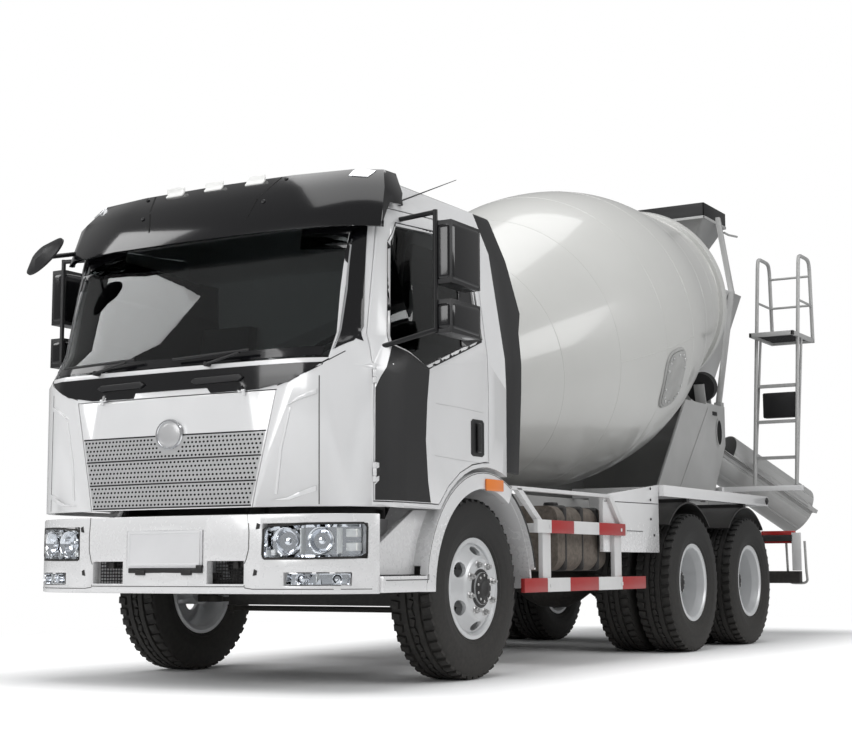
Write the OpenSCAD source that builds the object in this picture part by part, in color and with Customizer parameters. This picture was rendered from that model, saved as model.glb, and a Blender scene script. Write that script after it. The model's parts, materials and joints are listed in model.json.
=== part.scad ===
// Concrete mixer truck: forward-control cab, three axles, revolving drum.
// Millimetres, +Z up, the truck faces -Y and its left side is +X.
// The origin is on the ground under the middle of the whole truck.
// Pieces are laid out from the front axle, and truck() moves them.

/* [Chassis] */
// Distance from the front axle to the first driven axle
wheelbase = 3500; // [3400:10:3600]
// Distance between the two driven axles
bogie_gap = 1350; // [1300:10:1400]
// Height of the wheel centres
axle_z = 540; // [520:5:560]
// Distance from the front axle to the bumper's front face
front_overhang = 1485; // [1460:5:1520]
// Half of the width across the frame rails
rail_x = 430; // [400:5:440]
// Height of the frame rails
rail_h = 280; // [240:10:300]
// Top face of the frame rails
rail_top = 1030; // [1010:5:1040]
// Width of a rail flange
rail_flange = 80; // [60:5:90]
// Thickness of a rail
rail_t = 9; // [6:1:12]

/* [Wheels] */
// Width of a tyre
tyre_w = 315; // [290:5:320]
// Radius of the rim's bead seat
bead_r = 285; // [276:1:290]
// Thickness of a wheel disc
disc_t = 14; // [10:1:18]
// Side position of a front tyre's middle
front_tyre_x = 1028; // [1010:1:1040]
// Side position of a twin pair's middle
twin_x = 915; // [900:5:930]
// Distance between the middles of twin tyres
twin_gap = 344; // [335:1:360]
// Side position of the steering pivot
kingpin_x = 800; // [780:5:820]
// Radius of the steering pivot
kingpin_r = 24; // [18:1:28]
// Radius of the wheel's bearing spindle
spindle_r = 38; // [30:1:44]
// Running clearance round a shaft, on the radius
run_fit = 0.05; // [0.02:0.01:0.09]

/* [Cab] */
// Half width of the cab at its belt
cab_x = 1243; // [1220:1:1250]
// Lower edge of the cab
cab_z = 995; // [985:5:1010]
// Height of the roof
roof_z = 2960; // [2900:10:3020]
// Rear face of the cab, from the front axle
cab_rear = 285; // [250:5:320]
// Thickness of the cab's walls and doors
cab_wall = 45; // [35:1:55]
// Gap round a door
door_gap = 7; // [6:1:10]
// Top face of the cab floor
floor_z = 1190; // [1150:5:1210]
// Height of the engine tunnel
tunnel_z = 1500; // [1470:5:1560]
// Half width of the engine tunnel
tunnel_x = 470; // [450:5:500]
// Thickness of the window glass
glass_t = 8; // [5:1:12]
// Height of the cab's tilting pivot
tilt_z = 700; // [690:5:715]
// Cab's tilting pivot, from the front axle
tilt_y = -1370; // [-1380:5:-1360]
// Radius of the cab's tilting pivot
tilt_r = 18; // [14:1:20]

/* [Drum] */
// Angle of the drum's axis above level
drum_tilt = 16.19; // [15:0.1:17]
// Where the drum's axis meets the front edge of its shell, from the front axle
drum_y = 1322; // [1300:2:1340]
// Height of that point
drum_z = 1973; // [1960:1:1990]
// Largest radius of the drum
drum_r = 1199; // [1150:5:1210]
// Radius of the drum's front edge
drum_front_r = 750; // [700:5:800]
// Length of the drum's front cone
drum_cone = 1714; // [1650:10:1750]
// Length of the drum's cylinder
drum_mid = 879; // [800:10:900]
// Length of the drum's rear cone up to the track ring
drum_rear = 1657; // [1600:10:1700]
// Outer radius of the track ring
ring_r = 866; // [860:1:872]
// Thickness of the drum's shell
drum_wall = 12; // [8:1:16]
// Radius of the drum's mouth
mouth_r = 520; // [480:5:540]
// Radius of a supporting roller
roller_r = 140; // [120:1:150]
// Angle of a roller from the drum's lowest line
roller_angle = 32; // [28:1:36]
// Gap between the track ring and a roller
roller_gap = 0.3; // [0.2:0.1:0.6]

/* [Chute] */
// Swing of the stored chute from straight back
chute_swing = 37; // [33:1:40]
// Slope of the chute
chute_slope = 30; // [26:1:32]
// Length of the main chute beyond its pivot
chute_l = 1640; // [1600:10:1700]
// Inner radius of the chute
chute_r = 225; // [200:5:235]
// Thickness of the chute's wall
chute_t = 8; // [5:1:10]
// Chute's turning post, from the front axle
chute_y = 6350; // [6340:5:6380]
// Height of the chute's lifting pin
chute_z = 2020; // [2000:5:2040]

/* [Hidden] */
$fn = 48;

white = [0.86, 0.87, 0.87];
grey = [0.72, 0.72, 0.70];
black = [0.06, 0.06, 0.07];
dark = [0.16, 0.16, 0.17];
silver = [0.75, 0.76, 0.78];
tyre_c = [0.09, 0.09, 0.09];
glass_c = [0.35, 0.40, 0.44, 0.5];
seat_gap = 0.3;

tyre_r = axle_z;
mid_y = wheelbase;
rear_y = wheelbase + bogie_gap;
rail_bottom = rail_top - rail_h;
rail_front = -1300;
rail_rear = 6480;
bracket_x = rail_x + 32;
tow_dx = 160;
tow_dz = 100;
tow_z = 915;
tow_r = 10.5;

// Folding extension of the chute: its radius, its lift over the main chute, and its fold hinge
ext_r = chute_r + 22;
ext_lift = 6;
ext_end = chute_l - 40;
fold_y = chute_l + 10;
fold_z = 20;
fold_r = 10;
fold_ear = 18;
fold_ear_x = ext_r + chute_t + 16;
// The rear-most point is the corner of the fold hinge's ear
rear_reach = chute_y + (fold_y + fold_ear) * cos(chute_swing) * cos(chute_slope)
    + (fold_z + fold_ear) * cos(chute_swing) * sin(chute_slope) + fold_ear_x * sin(chute_swing);
overall_l = front_overhang + rear_reach;
axle1_y = front_overhang - overall_l / 2;

module truck() translate([0, axle1_y, 0]) children();
module both_sides() { children(); mirror([1, 0, 0]) children(); }
// A box from its lowest to its highest corner
module block(lo, hi) translate(lo) cube(hi - lo);
// An outline of [y, z] points, extruded along X from x0 to x1
module side_plate(points, x0, x1)
    translate([x0, 0, 0]) rotate([90, 0, 90]) linear_extrude(x1 - x0) polygon(points);
// A cylinder along X
module x_rod(r, x0, x1, y, z) translate([x0, y, z]) rotate([0, 90, 0]) cylinder(r = r, h = x1 - x0);
// A round bar between two points
module bar(a, b, r) {
    d = b - a;
    l = norm(d);
    translate(a) rotate([0, acos(d[2] / l), atan2(d[1], d[0])]) cylinder(r = r, h = l, $fn = 16);
}
function mirrored(points) = concat(points, [for (i = [len(points) - 1 : -1 : 0]) [-points[i][0], points[i][1]]]);

// ---------------------------------------------------------------- chassis

module chassis_frame() color(black) truck() {
    both_sides() difference() {
        block([rail_x - rail_flange, rail_front, rail_bottom], [rail_x, rail_rear, rail_top]);
        block([rail_x - rail_flange - 1, rail_front - 1, rail_bottom + rail_t],
              [rail_x - rail_t, rail_rear + 1, rail_top - rail_t]);
    }
    // cross members between the rails' webs, [y, half depth]
    for (m = [[-1240, 50], [1020, 40], [2000, 40], [2900, 40], [4175, 90], [5500, 40], [chute_y, 125]])
        block([-rail_x + rail_t, m[0] - m[1], rail_bottom + 60], [rail_x - rail_t, m[0] + m[1], rail_top - 60]);
    // brackets that carry the cab's tilting pivot
    both_sides() difference() {
        side_plate([[-1410, 665], [-1330, 665], [-1200, 760], [-1200, 1000], [-1300, 1000], [-1410, 735]],
                   rail_x, bracket_x);
        x_rod(tilt_r + run_fit, rail_x - 1, bracket_x + 1, tilt_y, tilt_z);
    }
    both_sides() {
        // arms that carry the bumper
        intersection() {
            block([360, -1480, 715], [420, -1299, 765]);
            bumper_shape(bumper_wall + seat_gap, 500, 800);
        }
        block([360, -1330, 590], [420, -1299, 800]);
        // seats for the rear of the cab
        block([rail_x - 1, 95, 880], [497, 175, 960]);
        block([tunnel_x + 2, 95, 880], [497, 175, floor_z - 40 - seat_gap]);
        // bars that carry the tail lamps
        block([rail_x - 1, 6440, 900], [1110, 6500, 960]);
    }
    // rear plate with the holes for a tow coupling
    difference() {
        block([-rail_x, rail_rear, 820], [rail_x, rail_rear + 20, rail_top]);
        for (x = [-1, 1], z = [-1, 1]) translate([x * tow_dx / 2, rail_rear - 1, tow_z + z * tow_dz / 2])
            rotate([-90, 0, 0]) cylinder(r = tow_r, h = 22);
    }
}

module engine() color(dark) truck() {
    // engine, gearbox, and the cooler in front
    block([-330, -820, 790], [330, 330, 1440]);
    translate([0, 329, 900]) rotate([-90, 0, 0]) cylinder(r = 145, h = 620);
    block([-345, -1130, 860], [345, -999, 1430]);
    both_sides() block([329, -300, 860], [rail_x - rail_t - seat_gap, -220, 920]);
    block([-300, -1000, 900], [300, -819, 1380]);
}

module front_axle() color(dark) truck() {
    // drop beam, with an eye at each end for the steering pivot
    difference() {
        union() {
            block([-620, -55, axle_z - 110], [620, 55, axle_z - 10]);
            both_sides() {
                side_x = 620;
                translate([side_x - 40, -55, axle_z - 110]) cube([60, 110, 160]);
                block([side_x, -55, axle_z - 50], [kingpin_x, 55, axle_z + 50]);
                translate([kingpin_x, 0, axle_z - 50]) cylinder(r = 55, h = 100);
            }
        }
        both_sides() translate([kingpin_x, 0, axle_z - 60]) cylinder(r = kingpin_r + run_fit, h = 120);
    }
}

module leaf_springs() color(dark) truck() both_sides() {
    // front springs, on the axle beam and hung from the rails
    for (i = [0 : 3])
        block([rail_x - 40, -760 + i * 120, axle_z - 10 + seat_gap + i * 16],
              [rail_x + 40, 760 - i * 120, axle_z + 7 + i * 16]);
    block([rail_x - 35, -760, axle_z + 6], [rail_x + 35, -700, rail_bottom]);
    block([rail_x - 35, 700, axle_z + 6], [rail_x + 35, 760, rail_bottom]);
    // bogie springs, over the trunnion between the driven axles
    for (i = [0 : 4])
        block([rail_x - 30, mid_y - 60 + i * 110, axle_z + 110 + i * 19],
              [rail_x + 60, rear_y + 60 - i * 110, axle_z + 130 + i * 19]);
    side_plate([[4100, axle_z - 60], [4250, axle_z - 60], [4330, rail_bottom], [4020, rail_bottom]],
               rail_x - 90, rail_x - 29);
}

module drive_axles() color(dark) truck() for (y = [mid_y, rear_y]) {
    // housing, turned in one piece, [radius, place across the truck]
    half = [[spindle_r, twin_x + 120], [spindle_r, rail_x + 130], [85, rail_x + 130], [85, 330], [150, 230], [205, 110], [205, 0]];
    translate([0, y, axle_z]) rotate([0, 90, 0]) rotate_extrude()
        polygon(concat([[0, twin_x + 120]], half, [for (i = [len(half) - 2 : -1 : 0]) [half[i][0], -half[i][1]]],
            [[0, -twin_x - 120]]));
    both_sides() block([rail_x - 25, y - 50, axle_z + 60], [rail_x + 55, y + 50, axle_z + 109.7]);
}

// ---------------------------------------------------------------- wheels

// [radius, offset from the tyre's middle] of half a tyre's section
tyre_half = [[bead_r, 105], [bead_r + 33, 134], [375, 152], [420, tyre_w / 2], [480, 152], [tyre_r - 22, 138],
             [tyre_r - 6, 118], [tyre_r, 90]];
module tyre_at(x) translate([x, 0, 0]) rotate([0, 90, 0]) rotate_extrude()
    polygon(concat(tyre_half, [for (i = [len(tyre_half) - 1 : -1 : 0]) [tyre_half[i][0], -tyre_half[i][1]]]));
module wheel_place(y) truck() translate([0, y, axle_z]) children();

rim_r = bead_r - seat_gap;
module rim_barrel(x) translate([x, 0, 0]) rotate([0, 90, 0]) rotate_extrude()
    polygon([[rim_r, 106], [rim_r + 18, 121], [rim_r + 18, 130], [rim_r - 4, 132], [rim_r - 16, 120],
             [rim_r - 26, 60], [rim_r - 26, -118], [rim_r - 4, -132], [rim_r + 18, -130],
             [rim_r + 18, -121], [rim_r, -106]]);
// Oval hand holes round a disc, n of them, l long round the disc
module hand_holes(x, r, n, l) for (i = [0 : n - 1])
    rotate([i * 360 / n, 0, 0]) translate([x - 60, 0, r]) rotate([0, 90, 0]) scale([1, l / 56, 1]) cylinder(r = 28, h = 170);
hub_r = spindle_r + run_fit;
module front_rim_body() difference() {
    union() {
        rim_barrel(front_tyre_x);
        // disc: a flat boss for the studs, and a cone down to the barrel
        translate([front_tyre_x, 0, 0]) rotate([0, 90, 0]) rotate_extrude()
            polygon([[60, 162], [170, 162], [182, 154], [248, 96], [rim_r - 14, 84], [rim_r - 14, 100],
                     [258, 112], [194, 168], [178, 178], [60, 178]]);
        x_rod(112, kingpin_x + 105, front_tyre_x + 182, 0, 0);
        x_rod(96, front_tyre_x + 181, front_tyre_x + 194, 0, 0);
    }
    x_rod(hub_r, kingpin_x + 100, front_tyre_x + 160, 0, 0);
    hand_holes(front_tyre_x + 90, 222, 6, 100);
}
module twin_rims_body() difference() {
    outer_x = twin_x + twin_gap / 2;
    inner_x = twin_x - twin_gap / 2;
    union() {
        rim_barrel(outer_x);
        rim_barrel(inner_x);
        // the two discs, back to back
        x_rod(rim_r - 30, twin_x - disc_t, twin_x + disc_t, 0, 0);
        translate([twin_x, 0, 0]) rotate([0, 90, 0]) rotate_extrude()
            polygon([[rim_r - 40, -75], [rim_r - 10, -75], [rim_r - 10, 75], [rim_r - 40, 75]]);
        x_rod(150, twin_x - 200, twin_x + 60, 0, 0);
        x_rod(95, twin_x + 59, twin_x + 190, 0, 0);
    }
    x_rod(hub_r, twin_x - 201, twin_x + 130, 0, 0);
    hand_holes(twin_x, 200, 8, 70);
}

module tyre_front_left() color(tyre_c) wheel_place(0) tyre_at(front_tyre_x);
module tyre_front_right() color(tyre_c) wheel_place(0) mirror([1, 0, 0]) tyre_at(front_tyre_x);
module rim_front_left() color(silver) wheel_place(0) front_rim_body();
module rim_front_right() color(silver) wheel_place(0) mirror([1, 0, 0]) front_rim_body();
module twin_tyres() for (s = [-1, 1]) tyre_at(twin_x + s * twin_gap / 2);
module tyres_mid_left() color(tyre_c) wheel_place(mid_y) twin_tyres();
module tyres_mid_right() color(tyre_c) wheel_place(mid_y) mirror([1, 0, 0]) twin_tyres();
module tyres_rear_left() color(tyre_c) wheel_place(rear_y) twin_tyres();
module tyres_rear_right() color(tyre_c) wheel_place(rear_y) mirror([1, 0, 0]) twin_tyres();
module rims_mid_left() color(grey) wheel_place(mid_y) twin_rims_body();
module rims_mid_right() color(grey) wheel_place(mid_y) mirror([1, 0, 0]) twin_rims_body();
module rims_rear_left() color(grey) wheel_place(rear_y) twin_rims_body();
module rims_rear_right() color(grey) wheel_place(rear_y) mirror([1, 0, 0]) twin_rims_body();

// Steering knuckle: fork round the beam's eye, pivot, spindle and steering arm
tie_y = 190;
tie_x = kingpin_x;
tie_z = axle_z - 90;
module knuckle_body() {
    translate([kingpin_x, 0, axle_z - 95]) cylinder(r = kingpin_r, h = 190);
    for (s = [-1, 1]) translate([kingpin_x, 0, axle_z + s * 75 - 20]) cylinder(r = 56, h = 40);
    for (s = [-1, 1]) block([kingpin_x, -50, axle_z + s * 75 - 20], [kingpin_x + 90, 50, axle_z + s * 75 + 20]);
    block([kingpin_x + 62, -50, axle_z - 95], [kingpin_x + 98, 50, axle_z + 95]);
    x_rod(spindle_r, kingpin_x + 97, front_tyre_x + 155, 0, axle_z);
    // steering arm, with the pin that the tie rod turns on
    hull() {
        translate([kingpin_x, 20, axle_z - 95]) cylinder(r = 30, h = 30);
        translate([tie_x, tie_y, axle_z - 95]) cylinder(r = 28, h = 30);
    }
    translate([tie_x, tie_y, tie_z - 85]) cylinder(r = 14, h = 90);
}
module knuckle_left() color(dark) truck() knuckle_body();
module knuckle_right() color(dark) truck() mirror([1, 0, 0]) knuckle_body();
module tie_rod() color(dark) truck() difference() {
    union() {
        x_rod(18, -tie_x, tie_x, tie_y, tie_z - 50);
        both_sides() translate([tie_x, tie_y, tie_z - 72]) cylinder(r = 30, h = 44);
    }
    both_sides() translate([tie_x, tie_y, tie_z - 90]) cylinder(r = 14 + run_fit, h = 90);
}

// ---------------------------------------------------------------- front

// Outline points are [x, y, inward x, inward y]; an inset moves each along its inward direction
function inset(points, i) = [for (p = points) [p[0] - i * p[2], p[1] + i * p[3]]];

// The bumper's outline seen from above
bumper_rim = [[640, -1456, 0, 1], [800, -1426, 0.2, 0.98], [950, -1378, 0.45, 0.89], [1060, -1314, 0.6, 0.8],
              [1140, -1234, 0.75, 0.66], [1203, -1172, 0.9, 0.3]];
function bumper_plan(i) = mirrored(concat([[1212 - i, -1140 + (i > 0 ? 1 : 0)]],
    [for (k = [len(bumper_rim) - 1 : -1 : 0]) inset(bumper_rim, i)[k]], [[300, -1478 + i], [0, -front_overhang + i]]));
bumper_lo = 527;
bumper_hi = 956;
bumper_wall = 55;
module bumper_shape(i, lo, hi) translate([0, 0, lo]) linear_extrude(hi - lo) polygon(bumper_plan(i));
module head_lamp_box(g) block([655 - g, -1500, 716 - g], [1172 + g, -1180, 905 + g]);
module fog_lamp_box(g) block([780 - g, -1500, 572 - g], [1110 + g, -1180, 642 + g]);
module bumper() color(white) truck() difference() {
    bumper_shape(0, bumper_lo, bumper_hi);
    bumper_shape(bumper_wall, bumper_lo - 1, bumper_hi + 1);
    both_sides() {
        head_lamp_box(0);
        fog_lamp_box(0);
        // air slot beside the plate
        block([300, -1500, 580], [540, -1300, 705]);
    }
    // recess for the plate
    block([-275, -1500, 668], [275, -1470, 875]);
}
module lamps() truck() {
    color(silver) both_sides() intersection() {
        difference() { bumper_shape(3, 500, 1000); bumper_shape(75, 499, 1001); }
        union() { head_lamp_box(-seat_gap); fog_lamp_box(-seat_gap); }
    }
    // side lamp on the fender, tail lamps
    color("orange") both_sides() block([1235.3, 10, 1124], [1250, 230, 1196]);
    color("darkred") both_sides() block([780, 6500.3, 880], [1110, 6560, 1000]);
}

// Front fender, arch liner and steps, seen from the side
arch_y = 20;
arch_z = 530;
arch_r = 605;
liner_r = 680;
flange_r = 705;
// A band round the wheel, from angle a0 to a1 up from straight back
module arch_band(r0, r1, x0, x1, a0, a1) translate([x0, arch_y, arch_z]) rotate([0, 90, 0]) rotate([0, 0, 90 + a0])
    rotate_extrude(angle = a1 - a0) translate([r0, 0]) square([r1 - r0, x1 - x0]);
module front_fenders() color(white) truck() both_sides() {
    difference() {
        union() {
            // flange round the wheel opening, and the liner over the wheel
            arch_band(arch_r - 3, flange_r, 1185, 1235, 60, 180);
            arch_band(liner_r, liner_r + 22, 870, 1186, 0, 168);
            arch_band(liner_r + 3, liner_r + 19, 1180, 1222, 10, 61);
            // step panel, set back behind the flange
            side_plate(concat([[-1140, 600], [-1140, 790], [-1040, 790], [-665, 990]],
                [for (a = [138 : 10 : 168]) [arch_y + 690 * cos(a), arch_z + 690 * sin(a)]], [[-655, 600]]), 1105, 1135);
            // step and the wall behind it
            block([960, -1140, 532], [1233, -640, 620]);
            block([960, -1140, 619], [985, -700, 940]);
            // brackets to the frame, before and behind the wheel
            block([rail_x + seat_gap, -760, 800], [961, -720, 840]);
            block([rail_x + seat_gap, 605, 860], [900, 640, 890]);
        }
        x_rod(arch_r, 1180, 1240, arch_y, arch_z);
        x_rod(660, 860, 1181, arch_y, arch_z);
    }
}

// ---------------------------------------------------------------- cab

// Half outlines of the cab seen from above, at six heights. The belt is the waist under the windscreen.
// Each row: [height, points of the front and its corner, side's x, rear's y]
belt_z = 1950;
cab_rim = [
    [cab_z, [[0, -1455, 0, 1], [600, -1441, 0, 1], [860, -1418, 0.2, 1], [1000, -1352, 0.5, 0.86], [1100, -1268, 0.66, 0.75],
             [1175, -1170, 0.8, 0.6], [1222, -1060, 0.92, 0.4], [cab_x - 3, -940, 1, 0]], cab_x - 3, cab_rear],
    [1760, [[0, -1440, 0, 1], [600, -1428, 0, 1], [870, -1410, 0.2, 1], [1010, -1350, 0.5, 0.86], [1110, -1262, 0.66, 0.75],
            [1180, -1165, 0.8, 0.6], [1225, -1055, 0.92, 0.4], [cab_x, -940, 1, 0]], cab_x, cab_rear],
    [belt_z, [[0, -1405, 0, 1], [560, -1392, 0, 1], [800, -1365, 0.2, 1], [932, -1295, 0.5, 0.86], [1030, -1210, 0.66, 0.75],
              [1105, -1115, 0.8, 0.6], [1170, -1000, 0.9, 0.45], [1236, -800, 1, 0]], 1238, cab_rear - 5],
    [2620, [[0, -1105, 0, 1], [600, -1090, 0, 1], [820, -1072, 0.1, 1], [980, -1045, 0.3, 0.95], [1050, -1025, 0.6, 0.8], [1085, -1000, 0.8, 0.6],
            [1118, -965, 0.9, 0.45], [1136, -920, 1, 0]], 1150, 240],
    [roof_z - 80, [[0, -1000, 0, 1], [560, -985, 0, 1], [760, -966, 0.1, 1], [900, -940, 0.3, 0.95], [960, -915, 0.6, 0.8], [1000, -890, 0.8, 0.6],
            [1035, -850, 0.9, 0.45], [1050, -820, 1, 0]], 1075, 170],
    [roof_z, [[0, -860, 0, 1], [520, -850, 0, 1], [700, -830, 0.1, 1], [820, -800, 0.3, 0.95], [850, -782, 0.6, 0.8], [880, -760, 0.8, 0.6],
              [895, -730, 0.9, 0.45], [900, -700, 1, 0]], 900, 60]
];
module cab_slice(row, i, back) translate([0, 0, row[0] == roof_z ? roof_z - i : row[0]]) linear_extrude(0.01)
    polygon(mirrored(concat(inset(row[1], i), [[row[2] - i, row[3] + back - i]])));
module cab_solid(i, lo, hi, back = 0) intersection() {
    union() {
        hull() for (k = [0 : 2]) cab_slice(cab_rim[k], i, back);
        hull() for (k = [2 : 5]) cab_slice(cab_rim[k], i, back);
    }
    block([-2000, -2000, lo], [2000, 2000, hi]);
}

// Side outlines as [y, z]
door_front = -1160;
door_arc_r = 760;
door_outline = concat([[door_front, 1020], [door_front, 1790], [door_front + 35, 1900], [-1000, 2600], [-930, 2700], [-20, 2760],
    [35, 2720], [50, 2600], [55, 1290]], [for (a = [92 : 12 : 140]) [30 + door_arc_r * cos(a), 530 + door_arc_r * sin(a)]], [[-640, 1020]]);
window_outline = [[-985, 1905], [-690, 1805], [-20, 2045], [-60, 2660], [-860, 2600], [-925, 2500]];
windscreen_hi = 2600;
dash_y = -1270;
// Door hinges, on an upright axis just outside the skin
hinge_x = cab_x - 57;
hinge_y = door_front + 3.5;
door_pin_r = 6;
module door_hinge_places() for (z = [1180, 1720]) translate([hinge_x, hinge_y, z]) children();

module grown(points, x0, x1, g) translate([x0, 0, 0]) rotate([90, 0, 90]) linear_extrude(x1 - x0) offset(delta = g) polygon(points);

// Front flap, hinged along its top edge
flap_y = -1447;
flap_z = 1637;
flap_pin_r = 4;
flap_hinge_x = 480;
flap_gap = 6;
flap_t = 20;
hump_r = 765;
flap_half = [[0, 985], [574, 985], [600, 1120], [715, 1630], [0, 1630]];
module flap_prism(g) translate([0, -1380, 0]) rotate([90, 0, 0]) linear_extrude(120)
    offset(delta = g) polygon(concat(flap_half, [[-715, 1630], [-600, 1120], [-574, 985]]));
module windscreen_prism(g) translate([0, -900, 0]) rotate([90, 0, 0]) linear_extrude(700)
    offset(delta = g) polygon([[-1000, 1800], [1000, 1800], [965, windscreen_hi], [-965, windscreen_hi]]);

// Room that the edge of an opening door sweeps inside the cab
door_sweep = 20;
module cab_shell() color(white) truck() difference() {
    union() {
        difference() {
            cab_solid(0, cab_z, roof_z);
            flap_prism(flap_gap);
            cab_solid(cab_wall, cab_z - 1, roof_z - cab_wall);
            both_sides() grown(door_outline, 1000, 1400, 0);
        }
        intersection() {
            cab_solid(cab_wall - 1, cab_z, roof_z);
            difference() {
                cab_solid(cab_wall - 1, cab_z, roof_z);
                both_sides() difference() {
                    grown(door_outline, 900, 1400, 3);
                    cab_solid(cab_wall + door_sweep, cab_z - 1, roof_z + 1);
                }
            }
            union() {
                // floor with the engine tunnel, and the bulkhead behind the flap
                both_sides() {
                    block([tunnel_x, -1400, floor_z - 40], [1188, 260, floor_z]);
                    block([tunnel_x, -1320, floor_z - 40], [tunnel_x + 30, 260, tunnel_z]);
                    block([tunnel_x, -1345, floor_z - 40], [780, -1320, tunnel_z]);
                }
                block([-tunnel_x - 30, -1320, tunnel_z - 30], [tunnel_x + 30, 260, tunnel_z]);
                block([-1188, -1345, tunnel_z - 30], [1188, dash_y, 1650]);
                // arches over the front wheels
                both_sides() difference() {
                    x_rod(hump_r, 500, 1188, 30, 530);
                    x_rod(hump_r - 30, 499, 1231, 30, 530);
                    block([400, -1000, -300], [1300, 1000, floor_z - 10]);
                }
            }
        }
        // hinge barrels for the doors
        both_sides() door_hinge_places() for (s = [-1, 1])
            translate([0, 0, s * 38 - 15]) cylinder(r = 11, h = 30);
        // hinge barrels for the front flap
        both_sides() {
            x_rod(8, flap_hinge_x, flap_hinge_x + 20, flap_y, flap_z);
            block([flap_hinge_x, flap_y - 3, flap_z], [flap_hinge_x + 20, -1420, flap_z + 14]);
        }
    }
    windscreen_prism(0);
    both_sides() {
        x_rod(hump_r - 30, 500, 1300, 30, 530);
        x_rod(flap_pin_r + run_fit, flap_hinge_x - 1, flap_hinge_x + 22, flap_y, flap_z);
        door_hinge_places() {
            translate([0, 0, -22.5]) cylinder(r = 14, h = 45);
            translate([0, 0, -60]) cylinder(r = door_pin_r + run_fit, h = 120);
        }
    }
    block([-tunnel_x, -1500, cab_z - 10], [tunnel_x, 400, tunnel_z - 30]);
}
// Arms and pins on which the cab tilts, one under each side of the floor
module cab_arms() color(black) truck() both_sides() {
    side_plate([[tilt_y - 25, tilt_z - 25], [-1130, tilt_z - 25], [-1130, floor_z - 40 - seat_gap],
                [-1180, floor_z - 40 - seat_gap], [-1180, tilt_z + 25], [tilt_y - 25, tilt_z + 25]], bracket_x + 8, bracket_x + 38);
    x_rod(tilt_r, rail_x + 1, bracket_x + 9, tilt_y, tilt_z);
}
module windscreen() color(glass_c) truck() intersection() {
    difference() { cab_solid(12, 1700, 2700); cab_solid(12 + glass_t, 1700, 2700); }
    windscreen_prism(-seat_gap);
}
module door_body() {
    difference() {
        union() {
            intersection() {
                difference() { cab_solid(0, cab_z, roof_z); cab_solid(cab_wall, cab_z - 1, roof_z); }
                grown(door_outline, 1000, 1400, -door_gap);
            }
            door_hinge_places() translate([0, 0, -20]) cylinder(r = 11, h = 40);
        }
        grown(window_outline, 1000, 1400, 0);
        door_hinge_places() for (s = [-1, 1]) translate([0, 0, s * 38 - 18]) cylinder(r = 14, h = 36);
    }
    door_hinge_places() translate([0, 0, -50]) cylinder(r = door_pin_r, h = 100);
}
module door_glass_body() intersection() {
    difference() { cab_solid(16, 1700, 2800); cab_solid(16 + glass_t, 1700, 2800); }
    grown(window_outline, 1000, 1400, -seat_gap);
}
module door_left() color(white) truck() door_body();
module door_right() color(white) truck() mirror([1, 0, 0]) door_body();
module door_glass_left() color(glass_c) truck() door_glass_body();
module door_glass_right() color(glass_c) truck() mirror([1, 0, 0]) door_glass_body();

module front_flap() color(white) truck() {
    intersection() {
        difference() { cab_solid(0, cab_z - 5, 1700); cab_solid(flap_t, cab_z - 6, 1701); }
        flap_prism(0);
    }
    both_sides() {
        x_rod(8, flap_hinge_x + 22, flap_hinge_x + 44, flap_y, flap_z);
        x_rod(flap_pin_r, flap_hinge_x + 1, flap_hinge_x + 23, flap_y, flap_z);
        block([flap_hinge_x + 22, flap_y - 3, flap_z - 25], [flap_hinge_x + 44, flap_y + 7, flap_z]);
        block([flap_hinge_x + 22, flap_y - 3, flap_z - 25], [flap_hinge_x + 44, -1425, flap_z - 9]);
    }
}

// Sun visor over the windscreen, as [height, half outline]
function visor_rows(i) = [
    [roof_z - 400, [[0, -1290 + i], [600, -1270 + i], [1000 - i, -1195 + i], [1165 - i, -1060], [1170 - i, -880]]],
    [roof_z - 160, [[0, -1190 + i], [600, -1170 + i], [980 - i, -1100 + i], [1140 - i, -980], [1150 - i, -800]]],
    [roof_z - 25, [[0, -1060 + i], [560, -1040 + i], [930 - i, -975 + i], [1070 - i, -880], [1080 - i, -760]]]
];
module visor_solid(i, drop) hull() for (row = visor_rows(i))
    translate([0, 0, row[0] - drop]) linear_extrude(0.01) polygon(mirrored(row[1]));
module visor() color(black) truck() difference() {
    visor_solid(0, 0);
    visor_solid(22, 24);
    cab_solid(-seat_gap, 2000, 3100);
    both_sides() grown(door_outline, 1000, 1400, 22);
}

module cab_fins() color(black) truck() difference() {
    intersection() {
        difference() { cab_solid(0, 1100, roof_z, 400); cab_solid(25, 1099, roof_z + 1, 400); }
        both_sides() side_plate([[-10, 2880], [100, 2845], [262, 2190], [280, 1250], [454, 1240], [529, 2150],
                [584, 2285], [390, 2871], [353, 2921]], 900, 1300);
    }
    cab_solid(-seat_gap, 1000, 3100);
}

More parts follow.
